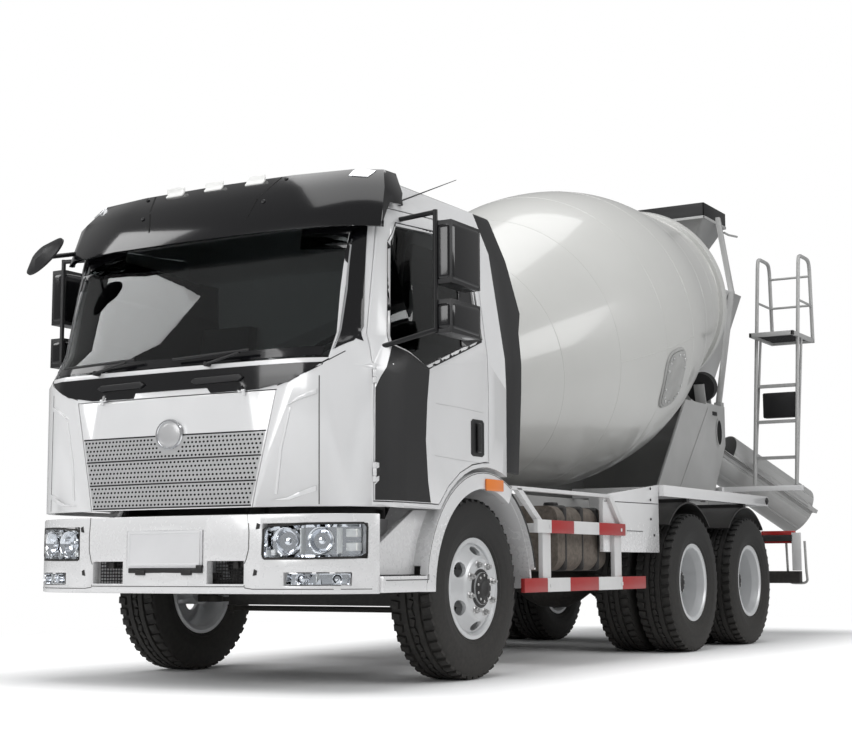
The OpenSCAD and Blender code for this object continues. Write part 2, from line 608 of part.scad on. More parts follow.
seat_x = 770;
module seats() color(dark) truck() both_sides() {
    difference() {
        block([seat_x - 225, -420, floor_z + seat_gap], [seat_x + 225, 60, floor_z + 330]);
        x_rod(hump_r + seat_gap, 400, 1200, 30, 530);
    }
    hull() {
        block([seat_x - 220, -400, floor_z + 329], [seat_x + 220, 60, floor_z + 440]);
        block([seat_x - 200, -380, floor_z + 459], [seat_x + 200, 40, floor_z + 460]);
    }
    hull() {
        block([seat_x - 210, -40, floor_z + 459], [seat_x + 210, 60, floor_z + 480]);
        block([seat_x - 190, 60, floor_z + 1080], [seat_x + 190, 150, floor_z + 1090]);
    }
}
module dashboard() color(dark) truck() {
    intersection() {
        side_plate([[dash_y + seat_gap, 1500.3], [dash_y + seat_gap, 1790], [-1150, 1840], [-950, 1800], [-900, 1700], [-960, 1550],
                    [-1100, 1500.3]], -1150, 1150);
        cab_solid(cab_wall + door_sweep, 1400, 1900);
    }
    // steering wheel and column
    translate([seat_x, -760, 1790]) rotate([-40, 0, 0]) {
        rotate_extrude() translate([215, 0]) circle(r = 16, $fn = 24);
        cylinder(r = 60, h = 20);
        translate([0, 0, -330]) cylinder(r = 30, h = 335);
        for (a = [0, 120, 240]) rotate([0, 0, a + 30]) translate([0, -18, 2]) cube([212, 36, 12]);
    }
}
module wipers() color(black) truck() difference() {
    for (x = [-560, 260]) {
        bar([x, -1400, 1800], [x, -1468, 1800], 14);
        bar([x, -1460, 1800], [x + 230, -1456, 1850], 8);
        bar([x - 240, -1456, 1842], [x + 300, -1456, 1860], 8);
    }
    cab_solid(-seat_gap, 1600, 2200);
}
module front_mirror() color(black) truck() {
    difference() {
        bar([-1050, -1050, 2640], [-1090, -1330, 2570], 14);
        visor_solid(-seat_gap, 0);
    }
    translate([-1090, -1335, 2566]) rotate([0, -30, 0]) rotate([60, 0, 0]) scale([1.2, 0.65, 1]) {
        translate([0, 0, 6]) cylinder(r = 140, h = 12);
        translate([0, 0, 18]) cylinder(r1 = 140, r2 = 60, h = 40);
    }
}
module mirror_body() {
    difference() {
        union() {
            bar([1100, -790, 2650], [1400, -860, 2650], 14);
            bar([1400, -860, 1980], [1140, -1068, 1870], 14);
        }
        cab_solid(-seat_gap, 900, 3000);
    }
    bar([1400, -860, 2663], [1400, -860, 1970], 14);
    block([1395, -855, 2240], [1500, -520, 2600]);
    block([1395, -855, 1960], [1500, -520, 2150]);
}
module mirror_left() color(black) truck() mirror_body();
module mirror_right() color(black) truck() mirror([1, 0, 0]) mirror_body();

// ---------------------------------------------------------------- side

panel_x = 1164.7;
module guards() truck() {
    both_sides() color("firebrick") {
        block([1195, 740, 885], [1225, 2160, 970]);
        block([1195, 550, 505], [1225, 2520, 595]);
        for (y = [925, 2080]) block([1165, y - 60, 505], [1195, y + 60, 970]);
        for (a = [[925, 1166], [2115, panel_x - 29 - seat_gap]])
            block([rail_x + seat_gap, a[0] - 25, 890], [a[1], a[0] + 25, 950]);
    }
    // rear under-run bar on its two arms
    color(black) {
        block([-1150, 6500, 500], [1150, 6590, 615]);
        both_sides() block([380, 6500.3, 560], [420, 6580, 1000]);
    }
}
// A box with its four long edges rounded, lying along Y
module round_box(lo, hi, r) {
    block([lo[0] + r, lo[1], lo[2]], [hi[0] - r, hi[1], hi[2]]);
    block([lo[0], lo[1], lo[2] + r], [hi[0], hi[1], hi[2] - r]);
    for (x = [lo[0] + r, hi[0] - r], z = [lo[2] + r, hi[2] - r])
        translate([x, lo[1], z]) rotate([-90, 0, 0]) cylinder(r = r, h = hi[1] - lo[1]);
}
module fuel_tank() color("saddlebrown") truck() {
    round_box([470, 1290, 640], [1100, 2080, 1080], 90);
    for (y = [1450, 1900]) block([rail_x + seat_gap, y - 30, 760], [471, y + 30, 1000]);
}
module battery_box() color(black) truck() {
    block([-1080, 1290, 640], [-rail_x - seat_gap, 1750, 1000]);
    for (z = [760, 950]) translate([-800, 1840, z]) rotate([-90, 0, 0]) cylinder(r = 90, h = 235);
    block([-710, 1940, 700], [-rail_x - seat_gap, 2000, 1000]);
}

// ---------------------------------------------------------------- body

deck_lo = 1200;
deck_hi = 1285;
post_r = 55;
plate_x = 660;
module subframe() color(grey) truck() {
    both_sides() block([rail_x - 80, 720, rail_top + 0.3], [rail_x, 6480, deck_lo]);
    // turning post of the chute, on the frame's last cross member
    translate([0, chute_y, rail_top - 60 + seat_gap]) cylinder(r = post_r, h = 590);
    translate([0, chute_y, rail_top - 60 + seat_gap]) cylinder(r = 95, h = 160 - 2 * seat_gap);
    for (y = [760, 2900, 4175, 5450]) block([-rail_x + 80, y - 40, rail_top + 20], [rail_x - 80, y + 40, deck_lo - 5]);
}
panel_end = mid_y - 560;
crossbar_z = 1440;
module side_panels() color(white) truck() {
    both_sides() {
        block([1150, panel_end + 10, deck_lo], [1205, 5450, deck_hi]);
        // cross beams of the deck, [y, inner end]
        for (b = [[panel_end + 20, rail_x + seat_gap], [3980, rail_x + seat_gap], [5400, plate_x + seat_gap]])
            block([b[1], b[0], deck_lo], [1151, b[0] + 50, deck_hi - 10]);
        side_plate([[1900, 770], [1900, 1170], [panel_end, deck_hi], [panel_end, 770]], panel_x - 29, panel_x);
        block([600, panel_end - 40, 780], [1136, panel_end, deck_lo]);
        block([700, panel_end - 5, 1180], [1136, panel_end + 21, 1230]);
    }
    // crossbar under the ladder
    block([-260, 6560, crossbar_z - 50], [1180, 6640, crossbar_z]);
    for (x = [-240, 360]) block([x, 6500 + seat_gap, 1000 + seat_gap], [x + 40, 6561, crossbar_z]);
}
module rear_mudguards() color(black) truck() both_sides() for (y = [mid_y, rear_y]) {
    translate([600, y, axle_z]) rotate([0, 90, 0]) rotate([0, 0, 135])
        rotate_extrude(angle = 90) translate([620, 0]) square([12, 600]);
    block([rail_x + seat_gap, y - 30, 1165], [1190, y + 30, deck_lo - seat_gap]);
}

// Point on the drum's axis, s millimetres behind the front edge of its shell
function drum_point(s) = [0, drum_y + s * cos(drum_tilt), drum_z + s * sin(drum_tilt)];
drum_down = [0, sin(drum_tilt), -cos(drum_tilt)];
module on_drum_axis() truck() translate([0, drum_y, drum_z]) rotate([drum_tilt - 90, 0, 0]) children();
ring_s = drum_cone + drum_mid + drum_rear;
mouth_s = ring_s + 480;
module drum() color(grey) on_drum_axis() {
    w = drum_wall;
    rotate_extrude($fn = 96) polygon([[0, -90], [350, -70], [drum_front_r, 0], [drum_r, drum_cone], [drum_r, drum_cone + drum_mid],
        [820, ring_s], [mouth_r + w, mouth_s], [mouth_r, mouth_s], [820 - w, ring_s], [drum_r - w, drum_cone + drum_mid],
        [drum_r - w, drum_cone], [drum_front_r - w, w], [350, w - 70], [0, w - 90]]);
    rotate_extrude($fn = 96) polygon([[815, ring_s - 50], [ring_r, ring_s - 50], [ring_r, ring_s + 50], [790, ring_s + 50]]);
    // stub shaft in the gearbox
    translate([0, 0, -260]) cylinder(r = 90, h = 175);
    translate([0, 0, -110]) cylinder(r = 200, h = 30);
}
gearbox_r = 230;
module drum_gearbox() color(dark) on_drum_axis() difference() {
    translate([0, 0, -560]) cylinder(r = gearbox_r, h = 445);
    translate([0, 0, -261]) cylinder(r = 90 + run_fit, h = 200);
}
module roller_place(side) {
    d = ring_r + roller_gap + roller_r;
    on_drum_axis() translate([side * d * sin(roller_angle), d * cos(roller_angle), ring_s]) children();
}
roller_shaft = 30;
module roller_body() difference() {
    translate([0, 0, -45]) cylinder(r = roller_r, h = 90);
    translate([0, 0, -46]) cylinder(r = roller_shaft + run_fit, h = 92);
}
module roller_left() color(dark) roller_place(1) roller_body();
module roller_right() color(dark) roller_place(-1) roller_body();
head_z = 2165;
module pedestals() color(grey) {
    truck() {
        // front pedestal, with the gearbox's saddle
        both_sides() side_plate([[700, deck_lo + seat_gap], [1150, deck_lo + seat_gap], [1050, 1640], [820, 1600]],
                                rail_x - 180, rail_x - 160);
        block([-rail_x + 80, 700, deck_lo + seat_gap], [rail_x - 80, 1150, deck_lo + 20]);
        // rear pedestal's plates, and the head that carries the rollers
        both_sides() side_plate([[4070, deck_lo + seat_gap], [5470, deck_lo + seat_gap], [5900, 1800], [5900, 2150],
                                 [4890, 2150]], plate_x - 20, plate_x);
        block([-plate_x + 20, 5500, 1300], [plate_x - 20, 5520, 2150]);
        block([-plate_x, 5400, head_z - 25], [plate_x, 5900, head_z]);
        both_sides() block([rail_x - 60, 5300, deck_lo + seat_gap], [plate_x - 19, 5360, deck_lo + 60]);
    }
    difference() {
        truck() block([-rail_x + 179, 800, 1500], [rail_x - 179, 1060, 1800]);
        on_drum_axis() translate([0, 0, -700]) cylinder(r = gearbox_r + seat_gap, h = 700);
    }
    for (side = [-1, 1]) roller_place(side) {
        translate([0, 0, -75]) cylinder(r = roller_shaft, h = 150);
        for (s = [-1, 1]) translate([-50, -40, s * 65 - 10]) cube([100, 225, 20]);
    }
}
// The hopper's steps from its rim down, as [half width, front, rear, height]
hopper_rows = [[450, 6040, 6650, 4210], [450, 6040, 6650, 4070], [270, 6080, 6500, 3760]];
module hopper_step(i, g, up) {
    r = hopper_rows[i];
    block([-r[0] + g, r[1] + g, r[3] + up], [r[0] - g, r[2] - g, r[3] + up + 1]);
}
module spout_end(r, up) truck() translate([0, 5800, 3400]) rotate([drum_tilt - 90, 0, 0])
    translate([0, 0, up]) cylinder(r = r, h = 10, $fn = 12);
// A square tube between two corners
module strut(a, b, w) hull() { translate(a) cube([w, w, 10]); translate(b) cube([w, w, 10]); }
module hopper() color(grey) {
    // charging hopper, and its spout into the drum's mouth
    difference() {
        union() {
            truck() {
                hull() { hopper_step(1, 0, 0); hopper_step(2, 0, 0); }
                block([-450, 6040, 4065], [450, 6650, 4210]);
            }
            hull() { truck() hopper_step(2, 5, 30); spout_end(200, 0); }
        }
        truck() {
            hull() { hopper_step(1, 12, 5); hopper_step(2, 12, -4); }
            block([-438, 6052, 4072], [438, 6638, 4215]);
        }
        hull() { truck() hopper_step(2, 20, 20); spout_end(188, -9); }
    }
    truck() {
        // funnel under the drum's mouth
        difference() {
            hull() { block([-600, 6030, 3350], [600, 6650, 3351]); block([-230, 6120, 2250], [230, 6560, 2251]); }
            hull() { block([-588, 6042, 3350.5], [588, 6638, 3352]); block([-218, 6132, 2249], [218, 6548, 2250]); }
            block([-700, 5900, 2700], [700, 6120, 3400]);
        }
        // struts on the pedestal's head
        both_sides() {
            block([590, 5810, head_z + seat_gap], [658, 5890, head_z + 40]);
            strut([600, 5825, head_z + 30], [595, 6300, 3340], 45);
            strut([595, 6300, 3320], [448, 6360, 4110], 45);
        }
    }
}
module ladder() color(grey) truck() {
    for (x = [700, 1120]) {
        bar([x, 6600, crossbar_z + 3], [x, 6900, 3755], 19);
        bar([x, 6622, crossbar_z + 2.5], [x, 6915, 2940], 12);
        bar([x, 6888, 3745], [x, 7258, 3745], 18);
        bar([x, 7250, 3756], [x, 7300, 2935], 19);
    }
    block([690, 6600, 2930], [1130, 7310, 2960]);
    for (z = [1900, 2400]) bar([700, 6600 + (z - 1450) * 300 / 2300, z], [1120, 6600 + (z - 1450) * 300 / 2300, z], 15);
}

// ---------------------------------------------------------------- chute

module at_post() truck() translate([0, chute_y, 0]) rotate([0, 0, -chute_swing]) children();
chute_pin_r = 20;
ear_x = chute_r + chute_t + 30;
module chute_bracket() color(grey) at_post() difference() {
    union() {
        translate([0, 0, 1130]) cylinder(r = 80, h = 420);
        block([-ear_x - 25, -40, 1500], [ear_x + 25, 40, 1549]);
        both_sides() block([ear_x, -40, 1500], [ear_x + 25, 40, chute_z + 20]);
    }
    translate([0, 0, 1129]) cylinder(r = post_r + run_fit, h = 422);
    x_rod(chute_pin_r + run_fit, -ear_x - 30, ear_x + 30, 0, chute_z);
}
// The chute's own frame: Y along the chute, origin on the lifting pin
module on_chute() at_post() translate([0, 0, chute_z]) rotate([-chute_slope, 0, 0]) children();
module trough(r, y0, y1) translate([0, y0, 0]) rotate([-90, 0, 0]) intersection() {
    difference() { cylinder(r = r + chute_t, h = y1 - y0); translate([0, 0, -1]) cylinder(r = r, h = y1 - y0 + 2); }
    translate([-r - 50, 0, 0]) cube([2 * r + 100, r + 50, y1 - y0]);
}
module chute() color(grey) on_chute() {
    trough(chute_r, -180, chute_l);
    both_sides() {
        x_rod(chute_pin_r, chute_r + 1, ear_x + 24, 0, 0);
        // rim flange, with the ear that holds the fold hinge
        block([chute_r + 1, 60, -6], [fold_ear_x, chute_l, 0]);
        difference() {
            side_plate([[chute_l - 120, -6], [chute_l, -6], [fold_y + fold_ear, fold_z - fold_ear], [fold_y + fold_ear, fold_z + fold_ear],
                [fold_y - 30, fold_z + fold_ear]],
                       ext_r + chute_t + 7, fold_ear_x);
            x_rod(fold_r + run_fit, ext_r, ext_r + 40, fold_y, fold_z);
        }
    }
}
module chute_extension() color(grey) on_chute() {
    translate([0, 0, ext_lift]) rotate([0, 180, 0]) trough(ext_r, 560, ext_end);
    both_sides() {
        side_plate([[ext_end - 60, ext_lift], [fold_y + 14, ext_lift], [fold_y + 14, fold_z + 14], [ext_end - 60, 60]], ext_r - 8, ext_r + 7.5);
        x_rod(fold_r, ext_r + 7, fold_ear_x, fold_y, fold_z);
    }
}

chassis_frame();
engine();
front_axle();
drive_axles();
leaf_springs();
bumper();
lamps();
front_fenders();
guards();
fuel_tank();
battery_box();
subframe();
pedestals();
rear_mudguards();
side_panels();
drum_gearbox();
hopper();
ladder();
cab_shell();
cab_arms();
windscreen();
visor();
cab_fins();
seats();
dashboard();
wipers();
front_mirror();
front_flap();
door_left();
door_right();
door_glass_left();
door_glass_right();
mirror_left();
mirror_right();
knuckle_left();
knuckle_right();
tie_rod();
tyre_front_left();
tyre_front_right();
rim_front_left();
rim_front_right();
tyres_mid_left();
tyres_mid_right();
rims_mid_left();
rims_mid_right();
tyres_rear_left();
tyres_rear_right();
rims_rear_left();
rims_rear_right();
drum();
roller_left();
roller_right();
chute_bracket();
chute();
chute_extension();
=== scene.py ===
import bpy
import bmesh
import json
import math
import random
from contextlib import contextmanager
from mathutils import Matrix, Vector
from mathutils.bvhtree import BVHTree
from mathutils.geometry import delaunay_2d_cdt

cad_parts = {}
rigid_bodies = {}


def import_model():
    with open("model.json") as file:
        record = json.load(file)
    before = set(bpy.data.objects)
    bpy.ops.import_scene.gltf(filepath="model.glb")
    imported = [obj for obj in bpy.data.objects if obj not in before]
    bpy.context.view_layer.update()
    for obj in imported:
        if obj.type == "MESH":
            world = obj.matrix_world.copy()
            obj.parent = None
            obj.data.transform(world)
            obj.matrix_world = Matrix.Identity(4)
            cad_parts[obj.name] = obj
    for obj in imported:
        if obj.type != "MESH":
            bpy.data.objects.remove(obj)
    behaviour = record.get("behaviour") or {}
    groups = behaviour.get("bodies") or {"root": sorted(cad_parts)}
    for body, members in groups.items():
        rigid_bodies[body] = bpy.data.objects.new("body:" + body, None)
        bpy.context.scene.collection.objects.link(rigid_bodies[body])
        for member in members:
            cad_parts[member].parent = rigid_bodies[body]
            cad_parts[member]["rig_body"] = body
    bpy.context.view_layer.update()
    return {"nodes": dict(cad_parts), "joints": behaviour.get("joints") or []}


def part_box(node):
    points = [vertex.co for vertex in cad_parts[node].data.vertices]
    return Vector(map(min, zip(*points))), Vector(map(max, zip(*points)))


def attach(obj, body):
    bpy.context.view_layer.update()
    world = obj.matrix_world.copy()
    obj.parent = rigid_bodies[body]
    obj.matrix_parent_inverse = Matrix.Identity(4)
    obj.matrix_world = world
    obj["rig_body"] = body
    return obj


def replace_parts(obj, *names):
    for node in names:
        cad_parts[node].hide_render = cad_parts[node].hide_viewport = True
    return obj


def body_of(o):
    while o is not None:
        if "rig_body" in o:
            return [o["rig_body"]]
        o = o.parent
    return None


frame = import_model()

# ---------------- studio
# A seamless pale studio: a white sweep, a broad softbox over the truck, one at its front left, one
# along its side, and a pane of light for the windscreen to show. The camera stands low.

axle_y = sum(corner[1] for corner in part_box("tyre_front_left")) / 2
scene = bpy.context.scene
scene.view_settings.view_transform = "Standard"
sides = ((1, "left"), (-1, "right"))


def place(x, y, z):
    """A point measured from the front axle, in metres."""
    return Vector((x, y + axle_y, z))


def solo(piece):
    """Selects one piece alone and makes it active."""
    bpy.ops.object.select_all(action="DESELECT")
    piece.select_set(True)
    bpy.context.view_layer.objects.active = piece
    return piece


def added(name, data):
    """A new object in the scene."""
    piece = bpy.data.objects.new(name, data)
    scene.collection.objects.link(piece)
    return solo(piece)


camera_data = bpy.data.cameras.new("camera")
camera_data.lens, camera_data.sensor_width, camera_data.clip_end = 66.15, 36.0, 200
camera_at = place(5.721, -8.327, 0.673)
camera = scene.camera = added("camera", camera_data)
camera_yaw, camera_pitch, camera_roll = (math.radians(a) for a in (30.42, 7.18, -0.2))
camera.matrix_world = (Matrix.Translation(camera_at) @ Matrix.Rotation(camera_yaw, 4, "Z")
                       @ Matrix.Rotation(math.radians(90) + camera_pitch, 4, "X")
                       @ Matrix.Rotation(camera_roll, 4, "Z"))
for name, at, towards, size, watts in (("softbox_top", (0.5, 1.0, 9.0), (0, 2.0, 0), (7, 11), 480),
                                       ("softbox_front", (-1.5, -10.0, 5.0), (0, 0, 1.6), (6, 4), 330),
                                       ("pane_for_glass", (-6.2, -4.6, 5.9), (-0.9, -1.3, 2.3), (2.6, 3.2), 120),
                                       ("softbox_side", (9.5, 3.0, 5.5), (0, 2.5, 1.5), (9, 3), 300)):
    data = bpy.data.lights.new(name, "AREA")
    data.shape, data.energy = "RECTANGLE", watts
    data.size, data.size_y = size
    lamp = added(name, data)
    lamp.location = place(*at)
    lamp.rotation_euler = (place(*towards) - place(*at)).to_track_quat("-Z", "Y").to_euler()


def graph(tree, nodes, links):
    """Adds nodes, each name: (type, settings, input values), and links written "node.socket > node.socket"."""
    made = {}
    for name, spec in nodes.items():
        kind, settings, values = (*spec, {}, {})[:3]
        node = made[name] = tree.nodes.new(kind if kind.startswith("NodeGroup") else "ShaderNode" + kind)
        for key, value in settings.items():
            setattr(node, key, value)
        for key, value in values.items():
            node.inputs[key].default_value = value
    for link in links.split(","):
        ends = [end.strip().split(".") for end in link.split(">")]
        (source, out), (target, into) = [(made[name], int(key) if key.isdigit() else key) for name, key in ends]
        tree.links.new(source.outputs[out], target.inputs[into])


def calc(operation, second=None, clamp=False, first=None):
    """A node for a sum; a number given for an input stays unless a link replaces it."""
    values = {key: value for key, value in ((0, first), (1, second)) if value is not None}
    return "Math", {"operation": operation, "use_clamp": clamp}, values


world = scene.world = bpy.data.worlds.new("studio")
world.use_nodes = True
world.node_tree.nodes.clear()
# seen directly or through glass the studio is white; in reflections and as light it is dimmer
graph(world.node_tree, {
    "out": ("OutputWorld",), "mix": ("MixShader",), "path": ("LightPath",),
    "fill": ("Background", {}, {"Color": (0.97, 0.985, 1.0, 1), "Strength": 0.42}),
    "white": ("Background", {}, {"Color": (1, 1, 1, 1)}),
    "level": ("MapRange", {}, {"To Min": 1.0, "To Max": 0.32}),
    "seen": calc("MAXIMUM"), "any": calc("MAXIMUM")},
    "path.Is Camera Ray > seen.0, path.Is Glossy Ray > seen.1, seen.0 > any.0, path.Is Transmission Ray > any.1,"
    "path.Is Glossy Ray > level.Value, level.Result > white.Strength, any.0 > mix.Fac, fill.0 > mix.1,"
    "white.0 > mix.2, mix.0 > out.Surface")

bpy.ops.mesh.primitive_plane_add(size=400, location=(0, 0, 0))
floor = bpy.context.object
floor.name = "studio_floor"
floor_look = bpy.data.materials.new("studio_floor")
floor_look.use_nodes = True
floor_look.node_tree.nodes.clear()
# "away" is the distance from a footprint 2 m by 8 m; the sweep fades to white from there. To the camera the floor loses
# its glow over the footprint and gets it back within 1.6 m of it: a painted shadow under the truck
graph(floor_look.node_tree, {
    "out": ("OutputMaterial",), "add": ("AddShader",), "far": ("MixShader",), "path": ("LightPath",),
    "coord": ("TexCoord",), "split": ("SeparateXYZ",), "glow": ("Emission",),
    "matt": ("BsdfDiffuse", {}, {"Color": (0.86, 0.86, 0.86, 1)}), "white": ("Emission", {}, {"Strength": 1.0}),
    "abs_x": calc("ABSOLUTE"), "abs_y": calc("ABSOLUTE"), "past_x": calc("SUBTRACT", 1.0),
    "past_y": calc("SUBTRACT", 4.0), "beside": calc("MAXIMUM", 0.0), "before": calc("MAXIMUM", 0.0),
    "square_x": calc("MULTIPLY"), "square_y": calc("MULTIPLY"), "squares": calc("ADD"), "away": calc("SQRT"),
    "near_step": ("MapRange", {"interpolation_type": "SMOOTHSTEP"}, {"From Min": 0.0, "From Max": 1.6}),
    "far_step": ("MapRange", {"interpolation_type": "SMOOTHSTEP"}, {"From Min": 1.4, "From Max": 5.0}),
    "far_seen": calc("MULTIPLY"), "half": calc("MULTIPLY", 0.5), "glow_seen": calc("MULTIPLY")},
    "coord.Object > split.0, split.X > abs_x.0, split.Y > abs_y.0, abs_x.0 > past_x.0, abs_y.0 > past_y.0,"
    "past_x.0 > beside.0, past_y.0 > before.0, beside.0 > square_x.0, beside.0 > square_x.1,"
    "before.0 > square_y.0, before.0 > square_y.1, square_x.0 > squares.0, square_y.0 > squares.1,"
    "squares.0 > away.0, away.0 > near_step.Value, away.0 > far_step.Value, far_step.Result > far_seen.0,"
    "path.Is Camera Ray > far_seen.1, near_step.Result > half.0, half.0 > glow_seen.0,"
    "path.Is Camera Ray > glow_seen.1, glow_seen.0 > glow.Strength, matt.0 > add.0, glow.0 > add.1,"
    "far_seen.0 > far.Fac, add.0 > far.1, white.0 > far.2, far.0 > out.Surface")
floor.data.materials.append(floor_look)

# ---------------- rails, cross members and castings
# Pressed steel channels, riveted and sprayed satin black, with the dust of a few trips in
# their corners. The castings of axles and springs have the same paint over a rough skin.


def group(name, inputs, outputs):
    """A node group with its sockets; an input's default tells its kind."""
    tree = bpy.data.node_groups.new(name, "ShaderNodeTree")
    for label, value in inputs.items():
        kind = "NodeSocketColor" if isinstance(value, tuple) else "NodeSocketFloat"
        tree.interface.new_socket(label, in_out="INPUT", socket_type=kind).default_value = value
    for label, kind in outputs.items():
        tree.interface.new_socket(label, in_out="OUTPUT", socket_type="NodeSocket" + kind)
    return tree


# turns a clean colour into one with slow blotches and with dust that lies low down
soiling = group("soiling", {"Color": (0.5, 0.5, 0.5, 1), "Roughness": 0.4, "Dust Color": (0.35, 0.31, 0.26, 1),
                            "Dust": 0.2, "Blotches": 0.1, "Blotch Scale": 3.0, "Dust Height": 1.4},
                {"Color": "Color", "Roughness": "Float"})
graph(soiling, {
    "in": ("NodeGroupInput",), "out": ("NodeGroupOutput",), "coord": ("TexCoord",), "split": ("SeparateXYZ",),
    "noise": ("TexNoise", {}, {"Detail": 6}), "fine": ("TexNoise", {}, {"Scale": 38, "Detail": 5}),
    "height": calc("DIVIDE", clamp=True), "low": calc("SUBTRACT", clamp=True, first=1.0),
    "speck": calc("MULTIPLY"), "total": calc("MULTIPLY", clamp=True), "less": calc("SUBTRACT", first=1.0),
    "shade": ("MapRange", {}, {"From Min": 0.3, "From Max": 0.7, "To Min": 1.0}),
    "darker": ("Mix", {"data_type": "RGBA", "blend_type": "MULTIPLY"}, {"Factor": 1.0}),
    "dusty": ("Mix", {"data_type": "RGBA"}), "dull": calc("MULTIPLY", 0.5), "rough": calc("ADD", clamp=True)},
    "coord.Object > noise.Vector, coord.Object > fine.Vector, in.Blotch Scale > noise.Scale,"
    "coord.Object > split.0, split.Z > height.0, in.Dust Height > height.1, height.0 > low.1, low.0 > speck.0,"
    "fine.Fac > speck.1, speck.0 > total.0, in.Dust > total.1, noise.Fac > shade.Value, in.Blotches > less.1,"
    "less.0 > shade.To Max, in.Color > darker.A, shade.Result > darker.B, total.0 > dusty.Factor,"
    "darker.Result > dusty.A, in.Dust Color > dusty.B, dusty.Result > out.Color, total.0 > dull.0,"
    "dull.0 > rough.0, in.Roughness > rough.1, rough.0 > out.Roughness")
# the small relief of a sprayed, moulded or cast skin, as a normal
skin_relief = group("skin_relief", {"Scale": 200.0, "Strength": 0.1, "Depth": 0.001, "Detail": 2.0},
                    {"Normal": "Vector"})
graph(skin_relief, {
    "in": ("NodeGroupInput",), "out": ("NodeGroupOutput",), "coord": ("TexCoord",), "noise": ("TexNoise",),
    "bump": ("Bump",)},
    "coord.Object > noise.Vector, in.Scale > noise.Scale, in.Detail > noise.Detail, in.Strength > bump.Strength,"
    "in.Depth > bump.Distance, noise.Fac > bump.Height, bump.Normal > out.Normal")


def finish(name, colour, roughness, metallic=0.0, coat=0.0, coat_rough=0.05, dust=0.15, blotches=0.08,
           blotch_scale=3.0, dust_height=1.5, relief=(200.0, 0.08, 0.001, 2.0), sheen=0.0):
    """A painted, moulded, cast or plated finish with its soiling and its relief. One number is a grey."""
    material = bpy.data.materials.new(name)
    material.use_nodes = True
    nodes, link = material.node_tree.nodes, material.node_tree.links.new
    shader, dirt, bumps = nodes["Principled BSDF"], nodes.new("ShaderNodeGroup"), nodes.new("ShaderNodeGroup")
    dirt.node_tree, bumps.node_tree = soiling, skin_relief
    rgb = colour if isinstance(colour, tuple) else (colour,) * 3
    for node, values in (
            (dirt, {"Color": (*rgb, 1), "Roughness": roughness, "Dust": dust, "Blotches": blotches,
                    "Blotch Scale": blotch_scale, "Dust Height": dust_height}),
            (bumps, dict(zip(("Scale", "Strength", "Depth", "Detail"), relief))),
            (shader, {"Metallic": metallic, "Coat Weight": coat, "Coat Roughness": coat_rough, "IOR": 1.45,
                      "Sheen Weight": sheen})):
        for key, value in values.items():
            node.inputs[key].default_value = value
    link(dirt.outputs["Color"], shader.inputs["Base Color"])
    link(dirt.outputs["Roughness"], shader.inputs["Roughness"])
    link(bumps.outputs["Normal"], shader.inputs["Normal"])
    return material


def clear(name, colour, roughness, ior):
    """Glass or a clear moulding."""
    material = bpy.data.materials.new(name)
    material.use_nodes = True
    for key, value in {"Base Color": (*colour, 1), "Roughness": roughness, "Transmission Weight": 1.0,
                       "IOR": ior}.items():
        material.node_tree.nodes["Principled BSDF"].inputs[key].default_value = value
    return material


def dress(material, *names):
    """Gives CAD nodes their real finish. A name ending in * stands for a left and a right one."""
    for name in names:
        for whole in ((name[:-1] + "left", name[:-1] + "right") if name.endswith("*") else (name,)):
            mesh = frame["nodes"][whole].data
            mesh.materials.clear()
            mesh.materials.append(material)
            for face in mesh.polygons:
                face.material_index = 0


near_black = (0.012, 0.012, 0.013)
chassis_black = finish("chassis_black", near_black, 0.45, dust_height=1.6, relief=(140.0, 0.2, 0.001, 4.0))
casting_black = finish("casting_black", 0.018, 0.6, dust=0.25, dust_height=1.3, relief=(90.0, 0.5, 0.002, 5.0))
cab_white = finish("cab_white", (0.78, 0.78, 0.785), 0.26, metallic=0.1, coat=0.7, coat_rough=0.04, dust=0.12,
                   blotches=0.03, relief=(320.0, 0.04, 0.0006, 1.0))
grey_paint = finish("superstructure_grey", (0.42, 0.42, 0.415), 0.38, coat=0.3, dust=0.3, blotches=0.1,
                    relief=(220.0, 0.08, 0.001, 3.0))
drum_grey = finish("drum_grey", (0.56, 0.56, 0.54), 0.3, coat=0.6, coat_rough=0.08, dust=0.1, blotches=0.06,
                   blotch_scale=1.2, relief=(4.0, 0.12, 0.01, 1.0))
black_plastic = finish("black_plastic", near_black, 0.42, dust=0.05, relief=(700.0, 0.25, 0.0008, 2.0))
black_gloss = finish("black_gloss", (0.004, 0.004, 0.005), 0.14, coat=0.4, dust=0.02,
                     relief=(300.0, 0.02, 0.0005, 1.0))
rubber = finish("rubber", 0.013, 0.68, dust=0.12, dust_height=1.1, relief=(260.0, 0.3, 0.001, 3.0))
silver_paint = finish("silver_paint", (0.70, 0.71, 0.72), 0.33, metallic=0.35, dust=0.1,
                      relief=(400.0, 0.05, 0.0006, 1.0))
window_tint = clear("window_tint", (0.35, 0.38, 0.38), 0.02, 1.45)
dress(chassis_black, "chassis_frame", "cab_arms", "battery_box", "rear_mudguards")
dress(casting_black, "engine", "front_axle", "drive_axles", "leaf_springs", "knuckle_*", "tie_rod", "drum_gearbox",
      "roller_*")
dress(cab_white, "cab_shell", "front_flap", "door_*", "bumper", "front_fenders", "side_panels")
dress(grey_paint, "hopper", "ladder", "pedestals", "chute_bracket", "chute", "chute_extension", "subframe")
dress(drum_grey, "drum")
dress(black_gloss, "visor")
dress(black_plastic, "cab_fins", "dashboard", "wipers", "front_mirror", "mirror_*", "seats", "guards", "fuel_tank")
dress(silver_paint, "rim_front_*", "rims_mid_*", "rims_rear_*", "lamps")
dress(rubber, "tyre_front_*", "tyres_mid_*", "tyres_rear_*")
dress(window_tint, "windscreen", "door_glass_*")

# ---------------- pressed and moulded skins
# The cab, its doors, bumper, fenders and visor are pressings and mouldings with rounded bends
# and folded edges. Each is the CAD part's shape with its bends smoothed and its edges eased.


